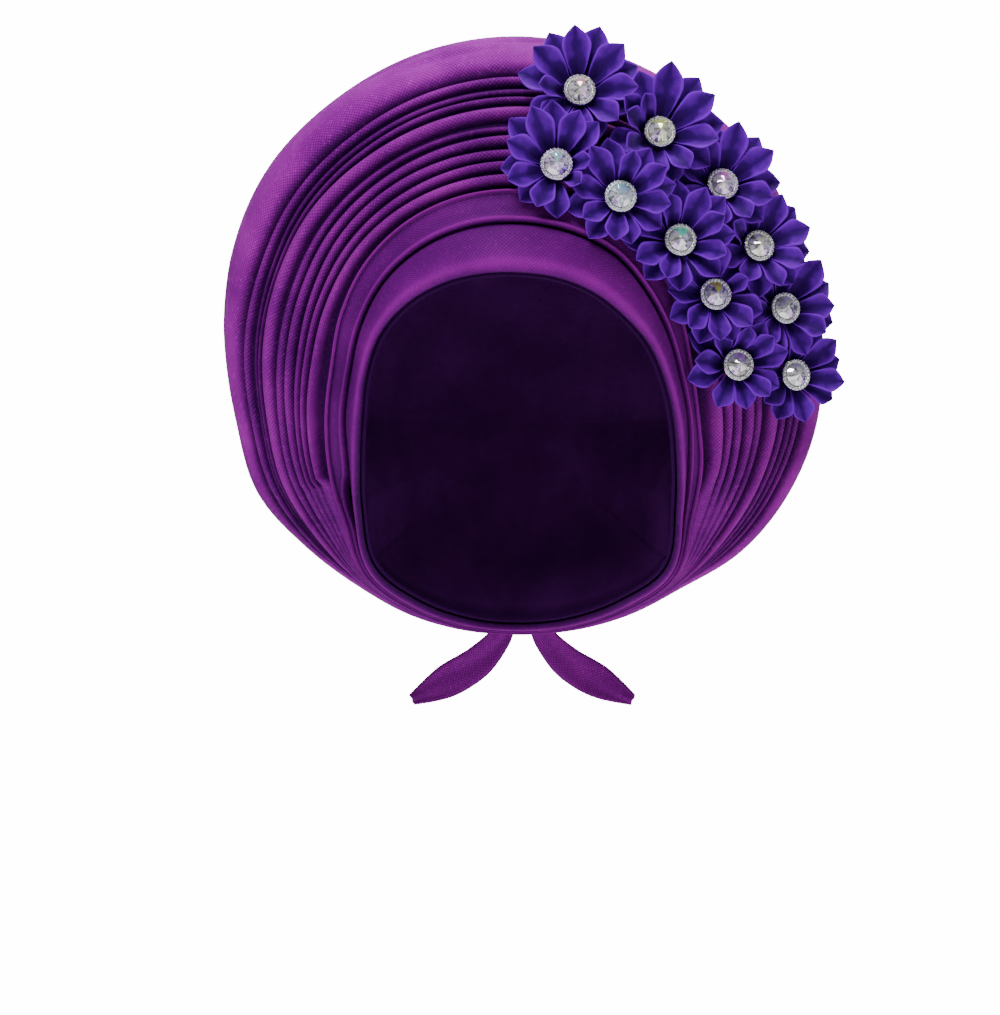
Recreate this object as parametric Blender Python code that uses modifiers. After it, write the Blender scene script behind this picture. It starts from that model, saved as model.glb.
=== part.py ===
"""Tied head wrap: a pleated cloth fan round a face opening, on a close cap, with ribbon flowers.

Metres, +Z up, -Y towards the viewer who faces the wearer, +X to that viewer's right.
The origin is where the inside of the cap meets the crown of the head.
Every cloth ring is described round the hub, a line along Y through the middle of the face
opening: angle 0 points up, and angles grow towards +X.
"""
import math

import bmesh
import bpy
from mathutils import Matrix, Vector
from mathutils.bvhtree import BVHTree

# Head that the cap is cut for
HEAD_WIDTH = 0.150
HEAD_LENGTH = 0.190
HUB_DROP = 0.101
HUB_X = -0.0017
HEAD_BACK = 0.010
HEAD_CURVE = 2.2
CAP_WALL = 0.0015
CAP_CHEEK_ANGLE = 88
CAP_JAW_ANGLE = 118
CAP_LEAST_BULGE = 1.004

# Rings of cloth, sizes at the crown
OPENING_RADIUS = 0.060
BAND_WIDTH = 0.020
INNER_WIDTH = 0.0135
FAN_RADIUS = 0.158
RIM_WIDTH = 0.019
FAN_LEAN = 0.057
BAND_RISE = 0.0038
INNER_RISE = 0.0026
PLEAT_RISE = 0.0046
RIM_RISE = 0.0062
FAN_BOW = 0.0030
BAND_WALL = 0.0020
FAN_WALL = 0.0020
RIM_WALL = 0.0020
RIM_BACK = 0.014
RIM_TUCK = 0.0030
BAND_FULLNESS = 1.5
RIM_FULLNESS = 2.0
WRAP_WALL = 0.0018
CLOTH_GAP = 0.0003
CAP_GAP = 0.0005

# Gathered back and its tie
KNOT_RISE = 0.016
KNOT_BACK = 0.008
KNOT_WIDTH = 0.030
KNOT_HEIGHT = 0.022
KNOT_DEPTH = 0.014
KNOT_HOLE = 0.007
KNOT_CAGE = 1.25
KNOT_WAIST = 0.22
KNOT_WAIST_REACH = 0.3
WRAP_BULGE = 0.045
WRAP_STRAIGHT = 0.62
WRAP_SPREAD = 0.10
WRAP_ARRIVAL = 0.42
GATHER_RISE = 0.0070
GATHER_COUNT = 12
GATHER_EASE = 1.5
TAIL_WIDTH = 0.015
TAIL_WALL = 0.0016
TAIL_LENGTH = 0.060
TAIL_SPREAD = 0.26

# Ribbon flowers and their brooches
FLOWER_RADIUS = 0.0260
UPPER_RADIUS = 0.0235
PETAL_WIDTH = 0.0128
PETAL_WALL = 0.0010
PETAL_CREASE = 0.0013
PETAL_TIP_CREASE = 0.6
PETAL_SHOULDER = 0.58
PETAL_COUNT = 8
LOWER_ROOT = 0.0084
UPPER_ROOT = 0.0074
LAYER_STEP = 0.0028
FLOWER_GAP = 0.0007
SETTING_RADIUS = 0.0066
SETTING_HEIGHT = 0.0024
SETTING_FLOOR = 0.0009
SETTING_FOOT = 0.80
SETTING_LIP = 0.90
SETTING_BELLY = 0.40
BORE_TAPER = 0.86
CRYSTAL_RADIUS = 0.0047
CRYSTAL_HEIGHT = 0.0036
CRYSTAL_FOOT = 0.80
CRYSTAL_GIRDLE = 0.0011
CRYSTAL_TABLE = 0.26
STONE_GAP = 0.0003

STATIONS = 36
ARC_STEPS = 6
BACK_STEPS = 4
SEAT_RINGS = 6
SEAT_SPOKES = 32
PETAL_TESTS = 5
SETTING_SIDES = 10
CRYSTAL_SIDES = 8

# angle in degrees; face, outline as shares of OPENING_RADIUS and FAN_RADIUS;
# band, inner, rim as shares of BAND_WIDTH, INNER_WIDTH and RIM_WIDTH
HOOPS = (
    # angle, face, band, inner, rim, outline
    (-180, 1.50, 0.05, 0.07, 0.10, 0.590),
    (-165, 1.50, 0.05, 0.08, 0.10, 0.595),
    (-150, 1.50, 0.06, 0.10, 0.10, 0.608),
    (-135, 1.48, 0.07, 0.13, 0.11, 0.627),
    (-120, 1.30, 0.10, 0.30, 0.15, 0.670),
    (-105, 1.16, 0.19, 0.55, 0.31, 0.728),
    (-90, 1.09, 0.32, 0.52, 0.36, 0.755),
    (-75, 1.09, 0.31, 0.56, 0.46, 0.808),
    (-60, 1.10, 0.43, 0.66, 0.76, 0.881),
    (-45, 1.07, 0.66, 0.76, 0.90, 0.939),
    (-30, 1.02, 0.85, 0.87, 0.96, 0.970),
    (-15, 0.97, 0.97, 0.95, 1.00, 0.993),
    (0, 0.94, 1.00, 0.99, 1.00, 0.999),
    (15, 0.94, 0.96, 0.95, 0.95, 0.981),
    (30, 0.95, 0.88, 0.80, 0.87, 0.954),
    (45, 0.96, 0.68, 0.75, 0.78, 0.918),
    (60, 0.99, 0.46, 0.51, 0.58, 0.858),
    (75, 1.01, 0.32, 0.36, 0.47, 0.821),
    (90, 1.05, 0.27, 0.28, 0.38, 0.791),
    (105, 1.13, 0.19, 0.38, 0.32, 0.746),
    (120, 1.28, 0.10, 0.27, 0.23, 0.694),
    (135, 1.49, 0.07, 0.13, 0.12, 0.633),
    (150, 1.50, 0.06, 0.10, 0.10, 0.609),
    (165, 1.50, 0.05, 0.08, 0.10, 0.595),
)

# angle in degrees either way; face as a share of HEAD_LENGTH; lean as a share of FAN_LEAN;
# band, inner and rim are how far along the lean each seam lies
DEPTHS = (
    # angle, face, lean, band, inner, rim
    (0, -0.416, 1.00, 0.06, 0.17, 0.56),
    (15, -0.405, 0.98, 0.06, 0.17, 0.57),
    (30, -0.374, 0.965, 0.06, 0.17, 0.60),
    (45, -0.330, 0.93, 0.06, 0.17, 0.64),
    (60, -0.282, 0.90, 0.07, 0.17, 0.69),
    (75, -0.242, 0.94, 0.08, 0.18, 0.73),
    (90, -0.202, 0.95, 0.09, 0.20, 0.77),
    (105, -0.132, 0.86, 0.11, 0.24, 0.78),
    (120, -0.032, 0.67, 0.14, 0.28, 0.76),
    (135, 0.063, 0.53, 0.17, 0.33, 0.74),
    (150, 0.179, 0.44, 0.19, 0.36, 0.72),
    (165, 0.305, 0.38, 0.20, 0.38, 0.70),
    (180, 0.395, 0.36, 0.20, 0.38, 0.70),
)

# Cross-sections of the two bands: along and rise as shares of the band's width and rise
BAND_SECTION = (
    # along, rise
    (0.00, 0.00),
    (0.06, 0.62),
    (0.26, 1.00),
    (0.60, 0.72),
    (0.92, 0.30),
    (1.00, 0.00),
)
INNER_SECTION = (
    # along, rise
    (0.00, 0.00),
    (0.10, 1.00),
    (0.24, 0.55),
    (0.60, 0.80),
    (0.92, 0.40),
    (1.00, 0.00),
)

# Folds of the fan from the inner band outwards, as shares of its width and of PLEAT_RISE
PLEATS = (
    # start, end, rise
    (0.020, 0.125, 0.90),
    (0.145, 0.225, 0.65),
    (0.245, 0.325, 0.72),
    (0.350, 0.435, 0.80),
    (0.465, 0.530, 0.45),
    (0.565, 0.685, 1.00),
    (0.705, 0.790, 0.62),
    (0.800, 0.870, 0.45),
    (0.885, 0.985, 0.85),
)
PLEAT_SHOULDER = 0.30
PLEAT_FALL = 0.92

# Rim roll: along is the share of the way from its seam to the outline,
# rise, back and tuck are shares of RIM_RISE, RIM_BACK and RIM_TUCK
RIM_SECTION = (
    # along, rise, back, tuck
    (0.00, 0.00, 0.00, 0.00),
    (0.08, 0.62, 0.00, 0.00),
    (0.27, 1.00, 0.00, 0.00),
    (0.52, 0.98, 0.00, 0.00),
    (0.80, 0.55, 0.00, 0.00),
    (1.00, 0.05, 0.15, 0.00),
    (1.00, 0.00, 1.00, 1.00),
)

# A tie end from the knot downwards: across, back and down as shares of TAIL_LENGTH,
# width as a share of TAIL_WIDTH
TAIL_ROUTE = (
    # across, back, down, width
    (0.00, 0.00, 0.00, 0.60),
    (0.05, 0.02, -0.12, 0.72),
    (0.22, 0.00, -0.30, 1.00),
    (0.46, -0.12, -0.44, 1.00),
    (0.70, -0.30, -0.56, 0.35),
)

# Flowers by their brooch: angle, share of the fan from inner band to outline,
# tilt outwards in degrees, turn of the first petal in degrees, size and layer order
FLOWERS = (
    # name, angle, share, tilt, turn, size, over
    ("flower_01", 10.2, 0.57, 14, -2, 1.08, 1),
    ("flower_02", 26.0, 0.53, 16, 10, 1.08, 2),
    ("flower_03", 8.0, 0.14, 8, -24, 0.98, 7),
    ("flower_04", 24.4, 0.10, 10, 12, 0.95, 6),
    ("flower_05", 40.9, 0.55, 18, 16, 1.00, 3),
    ("flower_06", 42.1, 0.15, 12, 22, 0.98, 8),
    ("flower_07", 54.2, 0.56, 20, 25, 0.98, 4),
    ("flower_08", 57.8, 0.21, 14, 44, 0.95, 9),
    ("flower_09", 67.4, 0.62, 22, 40, 0.98, 5),
    ("flower_10", 76.3, 0.26, 16, 5, 0.92, 10),
    ("flower_11", 80.9, 0.63, 24, 50, 0.92, 6),
)
PETAL_SHARES = (1.0, 0.9, 0.8, 0.7, 0.6, 0.5, 0.4, 0.3)
LOWER_PITCH = 8
UPPER_PITCH = 26
LAYER_PITCH = 7
STEEPEST_PITCH = 60
PITCH_STEP = 2
OVERLAP_SLANT = 34
TOUCHING_DISTANCE = 1.0
SPACED_DISTANCE = 1.45
CROWDED_DISTANCE = 2.3
SEAT_MARGIN = 1.02
SEAT_START = 0.05

CLOTH = (0.165, 0.016, 0.24)
CLOTH_DARK = (0.10, 0.008, 0.17)
SATIN = (0.050, 0.008, 0.30)
SILVER = (0.75, 0.75, 0.78)
CRYSTAL = (0.86, 0.88, 0.95)


def clear_scene():
    for scene_object in list(bpy.data.objects):
        bpy.data.objects.remove(scene_object, do_unlink=True)


def make_material(name, colour, roughness, metallic=0.0):
    material = bpy.data.materials.new(name)
    material.use_nodes = True
    shader = material.node_tree.nodes["Principled BSDF"]
    shader.inputs["Base Color"].default_value = (*colour, 1.0)
    shader.inputs["Roughness"].default_value = roughness
    shader.inputs["Metallic"].default_value = metallic
    return material


def smooth_value(rows, column, place, period=None):
    """Read a table's column at any place along its first column, on a smooth curve."""
    keys = [row[0] for row in rows]
    values = [row[column] for row in rows]
    if period:
        place = (place - keys[0]) % period + keys[0]
        keys = [keys[-1] - period] + keys + [keys[0] + period, keys[1] + period]
        values = [values[-1]] + values + [values[0], values[1]]
    else:
        keys = [2 * keys[0] - keys[1]] + keys + [2 * keys[-1] - keys[-2]]
        values = [values[1]] + values + [values[-2]]
    index = 1
    while index < len(keys) - 3 and place > keys[index + 1]:
        index += 1
    span = keys[index + 1] - keys[index]
    share = min(max((place - keys[index]) / span, 0.0), 1.0)
    before, start, end, after = values[index - 1:index + 3]
    slope_start = (end - before) * 0.5
    slope_end = (after - start) * 0.5
    square = share * share
    cube = square * share
    return ((2 * cube - 3 * square + 1) * start + (cube - 2 * square + share) * slope_start
            + (3 * square - 2 * cube) * end + (cube - square) * slope_end)


def hoop(angle):
    """Seams of the rings at one angle, each as (radius, depth): face, band, inner, rim, outline."""
    face = OPENING_RADIUS * smooth_value(HOOPS, 1, angle, 360)
    band = face + BAND_WIDTH * smooth_value(HOOPS, 2, angle, 360)
    inner = band + INNER_WIDTH * smooth_value(HOOPS, 3, angle, 360)
    outline = FAN_RADIUS * smooth_value(HOOPS, 5, angle, 360)
    rim = outline - RIM_WIDTH * smooth_value(HOOPS, 4, angle, 360)
    turn = abs((angle + 180) % 360 - 180)
    depth = HEAD_LENGTH * smooth_value(DEPTHS, 1, turn)
    lean = FAN_LEAN * smooth_value(DEPTHS, 2, turn)
    shares = [smooth_value(DEPTHS, column, turn) for column in (3, 4, 5)]
    return (Vector((face, depth)),
            Vector((band, depth + lean * shares[0])),
            Vector((inner, depth + lean * shares[1])),
            Vector((rim, depth + lean * shares[2])),
            Vector((outline, depth + lean)))


def place(angle, radius, depth):
    turn = math.radians(angle)
    return Vector((HUB_X + radius * math.sin(turn), depth,
                   radius * math.cos(turn) - HUB_DROP))


def outward(start, end):
    along = end - start
    return Vector((along.y, -along.x)).normalized()


def angles(count):
    return [index * 360.0 / count - 180.0 for index in range(count)]


def ring_object(name, sections, material, collection, closed_section=True):
    """Skin between the sections all the way round the face."""
    mesh = bpy.data.meshes.new(name)
    shape = bmesh.new()
    rings = [[shape.verts.new(point) for point in section] for section in sections]
    size = len(rings[0])
    last = size if closed_section else size - 1
    for index, ring in enumerate(rings):
        following = rings[(index + 1) % len(rings)]
        for corner in range(last):
            after = (corner + 1) % size
            shape.faces.new((ring[corner], ring[after], following[after], following[corner]))
    face_outwards(shape, closed_section)
    shape.to_mesh(mesh)
    shape.free()
    return add_object(name, mesh, material, collection)


def face_outwards(shape, closed):
    """Turn the faces outwards; an open shell's faces look away from the middle of the head."""
    bmesh.ops.recalc_face_normals(shape, faces=shape.faces)
    middle = Vector((0.0, HEAD_BACK, -HUB_DROP))
    looks = sum(face.normal.dot(face.calc_center_median() - middle) for face in shape.faces)
    if not closed and looks < 0:
        bmesh.ops.reverse_faces(shape, faces=shape.faces)


def add_object(name, mesh, material, collection, smooth=True):
    new_object = bpy.data.objects.new(name, mesh)
    collection.objects.link(new_object)
    mesh.materials.append(material)
    if smooth:
        mesh.shade_smooth()
    return new_object


def add_wall(shell, thickness):
    """Give an open shell its thickness, inwards from the shape that it was drawn with."""
    wall = shell.modifiers.new("wall", "SOLIDIFY")
    wall.thickness = thickness
    wall.offset = -1.0
    wall.use_even_offset = True


def seam_normals(seams):
    """Direction that the cloth edges stand in at each seam, shared by the strips that meet there."""
    face, band, root, rim, _ = seams
    strips = [outward(face, band), outward(band, root), outward(root, rim)]
    return (strips[0], (strips[0] + strips[1]).normalized(),
            (strips[1] + strips[2]).normalized(), strips[2])


def strip_points(angle, ends, normals, section, rise, wall, bow=0.0):
    """Front points of a strip between two seams, then its back, in order round the section."""
    start, end = ends
    width = (end - start).length
    near = start + (end - start) * (CLOTH_GAP / width)
    far = end - (end - start) * (CLOTH_GAP / width)
    back_steps = BACK_STEPS if bow else 1
    levels = [(along, rise * height) for along, height in section]
    levels += [(1 - step / back_steps, -wall) for step in range(back_steps + 1)]
    points = []
    for along, height in levels:
        arch = bow * 4 * along * (1 - along)
        normal = normals[0].lerp(normals[1], along).normalized()
        point = near.lerp(far, along) + normal * (height + arch)
        points.append(place(angle, point.x, point.y))
    return points


def make_bands(cloth, collection):
    """The forehead band and the inner band, each a rounded fold all round the opening."""
    forehead = []
    inner = []
    for angle in angles(STATIONS):
        seams = hoop(angle)
        normals = seam_normals(seams)
        face, band, root, _, _ = seams
        fullness = min(1.0, BAND_FULLNESS * (band - face).length / BAND_WIDTH)
        forehead.append(strip_points(angle, (face, band), normals[0:2], BAND_SECTION,
                                     BAND_RISE * fullness, BAND_WALL))
        fullness = min(1.0, BAND_FULLNESS * (root - band).length / INNER_WIDTH)
        inner.append(strip_points(angle, (band, root), normals[1:3], INNER_SECTION,
                                  INNER_RISE * fullness, BAND_WALL))
    ring_object("forehead_band", forehead, cloth, collection)
    ring_object("inner_band", inner, cloth, collection)


def pleat_section():
    """Points across the fan: a groove, then two shoulders for every fold."""
    section = [(0.0, 0.0)]
    for start, end, rise in PLEATS:
        shoulder = (end - start) * PLEAT_SHOULDER
        section += [(start + shoulder, rise), (end - shoulder, rise * PLEAT_FALL), (end, 0.0)]
    section[-1] = (1.0, 0.0)
    return section


def make_fan(cloth, collection):
    """The pleated cloth between the inner band and the rim."""
    _, _, root, rim, _ = hoop(0)
    crown_width = (rim - root).length
    section = pleat_section()
    sections = []
    for angle in angles(STATIONS):
        seams = hoop(angle)
        _, _, root, rim, _ = seams
        fullness = min(1.0, (rim - root).length / crown_width)
        sections.append(strip_points(angle, (root, rim), seam_normals(seams)[2:4], section,
                                     PLEAT_RISE * fullness, FAN_WALL, FAN_BOW * fullness))
    return ring_object("pleated_fan", sections, cloth, collection)


def rim_fullness(angle):
    return min(1.0, RIM_FULLNESS * smooth_value(HOOPS, 4, angle, 360))


def rim_points(angle):
    """The roll from its seam over the outline to the edge that the back is sewn to."""
    _, _, _, seam, outline = hoop(angle)
    full = rim_fullness(angle)
    normal = outward(seam, outline)
    near = seam + (outline - seam).normalized() * CLOTH_GAP
    points = []
    for along, rise, back, tuck in RIM_SECTION:
        shift = Vector((-RIM_TUCK * tuck, RIM_BACK * back)) * full
        points.append(near.lerp(outline, along) + normal * (RIM_RISE * rise * full) + shift)
    return points


def inside_points(points, wall):
    """The same open line moved inwards by the wall, from its far end back to its start."""
    inside = []
    for index, point in enumerate(points):
        before = points[max(index - 1, 0)]
        after = points[min(index + 1, len(points) - 1)]
        inside.append(point - outward(before, after) * wall)
    return inside[::-1]


def make_rim(cloth, collection):
    sections = []
    for angle in angles(STATIONS):
        front = rim_points(angle)
        back = inside_points(front, RIM_WALL)
        back[-1] = front[0] - seam_normals(hoop(angle))[3] * RIM_WALL
        sections.append([place(angle, point.x, point.y) for point in front + back])
    return ring_object("outer_rim", sections, cloth, collection)


def knot_place():
    _, _, _, _, outline = hoop(180)
    return Vector((0.0, outline.y + KNOT_BACK, KNOT_RISE - HUB_DROP - outline.x))


def wrap_point(angle, share):
    """A point of the gathered back on the line from the rim at one angle to the knot."""
    edge = rim_points(angle)[-1]
    start = place(angle, edge.x, edge.y + CLOTH_GAP)
    knot = knot_place()
    across = Vector((start.x - knot.x, 0.0, start.z - knot.z))
    reach = across.length
    across.normalize()
    end = knot + across * KNOT_HOLE
    depth = end.y - start.y
    leave = start + Vector((0.0, WRAP_STRAIGHT * depth, 0.0))
    leave += across * min(WRAP_SPREAD * reach, RIM_TUCK / 2)
    bulge = Vector((0.0, WRAP_BULGE * reach / FAN_RADIUS, 0.0))
    arrive = end + across * (WRAP_ARRIVAL * reach) + bulge
    rest = 1 - share
    point = (start * rest ** 3 + leave * 3 * rest ** 2 * share
             + arrive * 3 * rest * share ** 2 + end * share ** 3)
    centre = Vector((0.0, HEAD_BACK, -HUB_DROP))
    fold = 0.5 - 0.5 * math.cos(math.radians(angle) * GATHER_COUNT)
    swell = math.sin(math.pi * share) ** GATHER_EASE
    size = min(1.0, reach / FAN_RADIUS)
    return point + (point - centre).normalized() * GATHER_RISE * fold * swell * size


def make_back(cloth, collection):
    steps = ARC_STEPS
    sections = []
    for angle in angles(STATIONS):
        sections.append([wrap_point(angle, step / steps) for step in range(steps + 1)])
    wrap = ring_object("back_wrap", sections, cloth, collection, closed_section=False)
    add_wall(wrap, WRAP_WALL)
    return wrap


def cap_point(angle, share):
    """A point on the outside of the cap: share 0 at its front edge, 1 at the back of the head."""
    face, _, root, _, _ = hoop(angle)
    edge = face - outward(face, root) * (BAND_WALL + CAP_GAP)
    turn = math.radians(angle)
    half = HEAD_WIDTH / 2 + CAP_WALL
    height = HUB_DROP + CAP_WALL
    head = 1 / math.hypot(math.sin(turn) / half, math.cos(turn) / height)
    jaw = CAP_JAW_ANGLE - CAP_CHEEK_ANGLE
    low = min(max((abs(angle) - CAP_CHEEK_ANGLE) / jaw, 0.0), 1.0)
    widest = max(edge.x * CAP_LEAST_BULGE, edge.x + (head - edge.x) * (1 - low))
    back = HEAD_LENGTH / 2 + CAP_WALL
    curve = HEAD_CURVE
    if edge.y > HEAD_BACK:
        behind = (edge.y - HEAD_BACK) / back
        widest = edge.x / (1 - behind ** curve) ** (1 / curve)
        first = math.asin(behind ** (curve / 2))
        sweep = first + (math.pi / 2 - first) * share
    else:
        closing = math.acos((edge.x / widest) ** (curve / 2))
        front = (HEAD_BACK - edge.y) / math.sin(closing) ** (2 / curve)
        sweep = -closing + (math.pi / 2 + closing) * share
    radius = widest * max(math.cos(sweep), 0.0) ** (2 / curve)
    length = back if sweep > 0 else front
    depth = HEAD_BACK + math.copysign(length * abs(math.sin(sweep)) ** (2 / curve), sweep)
    return place(angle, radius, depth)


def make_cap(cloth, collection):
    """The close cap that the rings are sewn to, closed over the back of the head."""
    steps = ARC_STEPS + 1
    mesh = bpy.data.meshes.new("cap")
    shape = bmesh.new()
    rings = []
    for angle in angles(STATIONS):
        rings.append([shape.verts.new(cap_point(angle, step / steps)) for step in range(steps)])
    pole = shape.verts.new(cap_point(0, 1.0))
    for index, ring in enumerate(rings):
        following = rings[(index + 1) % len(rings)]
        for step in range(steps - 1):
            shape.faces.new((ring[step], ring[step + 1], following[step + 1], following[step]))
        shape.faces.new((ring[-1], pole, following[-1]))
    face_outwards(shape, closed=False)
    shape.to_mesh(mesh)
    shape.free()
    add_wall(add_object("cap", mesh, cloth, collection), CAP_WALL)


def surface_tree(objects):
    """One search tree over the finished surfaces of some objects."""
    graph = bpy.context.evaluated_depsgraph_get()
    points = []
    faces = []
    for scene_object in objects:
        mesh = scene_object.evaluated_get(graph).to_mesh()
        first = len(points)
        points += [scene_object.matrix_world @ vertex.co for vertex in mesh.vertices]
        faces += [[first + corner for corner in face.vertices] for face in mesh.polygons]
    return BVHTree.FromPolygons(points, faces)


def make_knot(cloth, collection, wrap_tree):
    """The tied knot, a soft pillow drawn in at its waist, seated on the gathered back."""
    knot = knot_place()
    bpy.ops.mesh.primitive_cube_add(size=1)
    bundle = bpy.context.object
    bundle.name = "tie_knot"
    for vertex in bundle.data.vertices:
        vertex.co.x *= KNOT_WIDTH * KNOT_CAGE
        vertex.co.y *= KNOT_DEPTH * KNOT_CAGE
        vertex.co.z *= KNOT_HEIGHT * KNOT_CAGE
    shape = bmesh.new()
    shape.from_mesh(bundle.data)
    bmesh.ops.subdivide_edges(shape, edges=shape.edges, cuts=1, use_grid_fill=True)
    for vertex in shape.verts:
        from_waist = min(1.0, abs(vertex.co.x) / (KNOT_WIDTH * KNOT_WAIST_REACH))
        waist = 1 - KNOT_WAIST * (1 - from_waist)
        vertex.co.z *= waist
        vertex.co.y *= waist
    shape.to_mesh(bundle.data)
    shape.free()
    bundle.data.materials.append(cloth)
    for holder in list(bundle.users_collection):
        holder.objects.unlink(bundle)
    collection.objects.link(bundle)
    soft = bundle.modifiers.new("soft", "SUBSURF")
    soft.levels = 1
    soft.render_levels = 1
    far_back = Vector((knot.x, knot.y + SEAT_START, knot.z))
    bundle.location = far_back
    bpy.context.view_layer.update()
    gap = drop_distance(bundle, Vector((0.0, -1.0, 0.0)), wrap_tree)
    bundle.location = far_back - Vector((0.0, gap - CLOTH_GAP, 0.0))
    bpy.context.view_layer.update()
    return bundle


def drop_distance(mover, direction, tree):
    """How far a piece can move along a direction before one of its points meets the tree."""
    graph = bpy.context.evaluated_depsgraph_get()
    evaluated = mover.evaluated_get(graph)
    mesh = evaluated.to_mesh()
    nearest = 1.0
    for vertex in mesh.vertices:
        hit = tree.ray_cast(evaluated.matrix_world @ vertex.co, direction)
        if hit[0] is not None:
            nearest = min(nearest, hit[3])
    return nearest


def make_tail(name, side, cloth, collection, bundle, knot_tree):
    """A flat end of the tie that leaves the knot downwards and hangs in a soft curl."""
    low = min((bundle.matrix_world @ Vector(corner)).z for corner in bundle.bound_box)
    start = Vector((side * KNOT_WIDTH * TAIL_SPREAD, bundle.location.y, low - CLOTH_GAP))
    twist = Vector((0.0, 1.0, 0.0))
    sections = []
    for index, (across, back, down, width) in enumerate(TAIL_ROUTE):
        centre = start + Vector((side * across, back, down)) * TAIL_LENGTH
        following = TAIL_ROUTE[min(index + 1, len(TAIL_ROUTE) - 1)]
        before = TAIL_ROUTE[max(index - 1, 0)]
        run = Vector((side * (following[0] - before[0]), following[1] - before[1],
                      following[2] - before[2])).normalized()
        if index == 0:
            run = Vector((0.0, 0.0, -1.0))
        flat = run.cross(twist).normalized() * TAIL_WIDTH * width / 2
        thick = run.cross(flat).normalized() * TAIL_WALL / 2
        fold = thick * min(1.0, index)
        sections.append((centre - flat - thick + fold, centre - thick, centre + flat - thick + fold,
                         centre + flat + thick + fold, centre + thick, centre - flat + thick + fold))
    mesh = bpy.data.meshes.new(name)
    shape = bmesh.new()
    rings = [[shape.verts.new(point) for point in section] for section in sections]
    for ring, following in zip(rings, rings[1:]):
        for corner in range(6):
            after = (corner + 1) % 6
            shape.faces.new((ring[corner], ring[after], following[after], following[corner]))
    for ring in (rings[0], rings[-1]):
        shape.faces.new((ring[0], ring[1], ring[4], ring[5]))
        shape.faces.new((ring[1], ring[2], ring[3], ring[4]))
    bmesh.ops.recalc_face_normals(shape, faces=shape.faces)
    shape.to_mesh(mesh)
    shape.free()
    tail = add_object(name, mesh, cloth, collection)
    bpy.context.view_layer.update()
    tail.location.z = drop_distance(tail, Vector((0.0, 0.0, 1.0)), knot_tree) - CLOTH_GAP
    return tail


def flower_frames(tree):
    """Seat of every flower: its base point, with right, up and outward directions."""
    frames = []
    for _, angle, share, tilt, turn, size, over in FLOWERS:
        _, _, root, _, outline = hoop(angle)
        middle = root.lerp(outline, share)
        turned = math.radians(angle)
        lean = math.radians(tilt)
        normal = Vector((math.sin(lean) * math.sin(turned), -math.cos(lean),
                         math.sin(lean) * math.cos(turned)))
        right = Vector((0.0, 0.0, 1.0)).cross(normal).normalized()
        upward = normal.cross(right)
        brooch = place(angle, middle.x, middle.y)
        nearest = 1.0
        for ring in range(SEAT_RINGS + 1):
            spread = LOWER_ROOT * SEAT_MARGIN * ring / SEAT_RINGS
            for spoke in range(SEAT_SPOKES):
                way = math.tau * spoke / SEAT_SPOKES
                offset = (right * math.cos(way) + upward * math.sin(way)) * spread
                origin = brooch + offset + normal * SEAT_START
                hit = tree.ray_cast(origin, -normal)
                if hit[0] is not None:
                    nearest = min(nearest, hit[3])
        base = brooch + normal * (SEAT_START - nearest + CLOTH_GAP)
        frames.append({"base": base, "right": right, "up": upward, "normal": normal,
                       "turn": turn, "size": size, "over": over})
    return frames


def flower_limits(frames):
    """For each flower, the planes towards its neighbours that its petals stay behind."""
    limits = []
    for frame in frames:
        planes = []
        for other in frames:
            away = other["base"] - frame["base"]
            if other is frame or away.length > FLOWER_RADIUS * CROWDED_DISTANCE:
                continue
            middle_normal = (frame["normal"] + other["normal"]).normalized()
            across = (away - middle_normal * away.dot(middle_normal)).normalized()
            spacing = away.length / FLOWER_RADIUS
            crowding = (SPACED_DISTANCE - spacing) / (SPACED_DISTANCE - TOUCHING_DISTANCE)
            slant = math.radians(OVERLAP_SLANT) * min(max(crowding, 0.0), 1.0)
            if frame["over"] < other["over"]:
                slant = -slant
            facing = across * math.cos(slant) - middle_normal * math.sin(slant)
            middle = (frame["base"] + other["base"]) / 2 + middle_normal * LAYER_STEP
            planes.append((middle, facing))
        limits.append(planes)
    return limits


def petal_points(frame, way, root, height, length, pitch):
    """Top points of one petal: middle of its root, its two shoulders and its tip."""
    along = frame["right"] * math.sin(way) + frame["up"] * math.cos(way)
    side = frame["right"] * math.cos(way) - frame["up"] * math.sin(way)
    rise = math.radians(pitch)
    run = along * math.cos(rise) + frame["normal"] * math.sin(rise)
    lift = frame["normal"] * math.cos(rise) - along * math.sin(rise)
    origin = frame["base"] + along * root + frame["normal"] * height
    half = PETAL_WIDTH / 2 * frame["size"]
    reach = root + length * PETAL_SHOULDER * math.cos(rise) - PETAL_CREASE * math.sin(rise)
    half = min(half, reach * math.tan(math.pi / PETAL_COUNT) - CLOTH_GAP)
    shoulder = origin + run * (length * PETAL_SHOULDER) + lift * PETAL_CREASE
    tip = origin + run * length + lift * PETAL_CREASE * PETAL_TIP_CREASE
    return {"root": origin, "left": shoulder - side * half, "right": shoulder + side * half,
            "tip": tip, "lift": lift}


def fits(frame, points, planes, tree):
    """True where a petal stays behind its planes and above the cloth that it lies on."""
    corners = [points[key] - points["lift"] * PETAL_WALL for key in ("left", "tip", "right")]
    for point in corners + [points[key] for key in ("left", "tip", "right")]:
        for middle, facing in planes:
            if (point - middle).dot(facing) > -FLOWER_GAP / 2:
                return False
    root = points["root"] - frame["normal"] * PETAL_WALL
    edges = ((root, corners[0]), (root, corners[1]), (root, corners[2]),
             (corners[0], corners[1]), (corners[1], corners[2]))
    for start, end in edges:
        for step in range(1, PETAL_TESTS + 1):
            point = start.lerp(end, step / PETAL_TESTS)
            above = point + frame["normal"] * FLOWER_RADIUS
            hit = tree.ray_cast(above, -frame["normal"])
            if hit[0] is not None and hit[3] < FLOWER_RADIUS + CLOTH_GAP:
                return False
    return True


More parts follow.
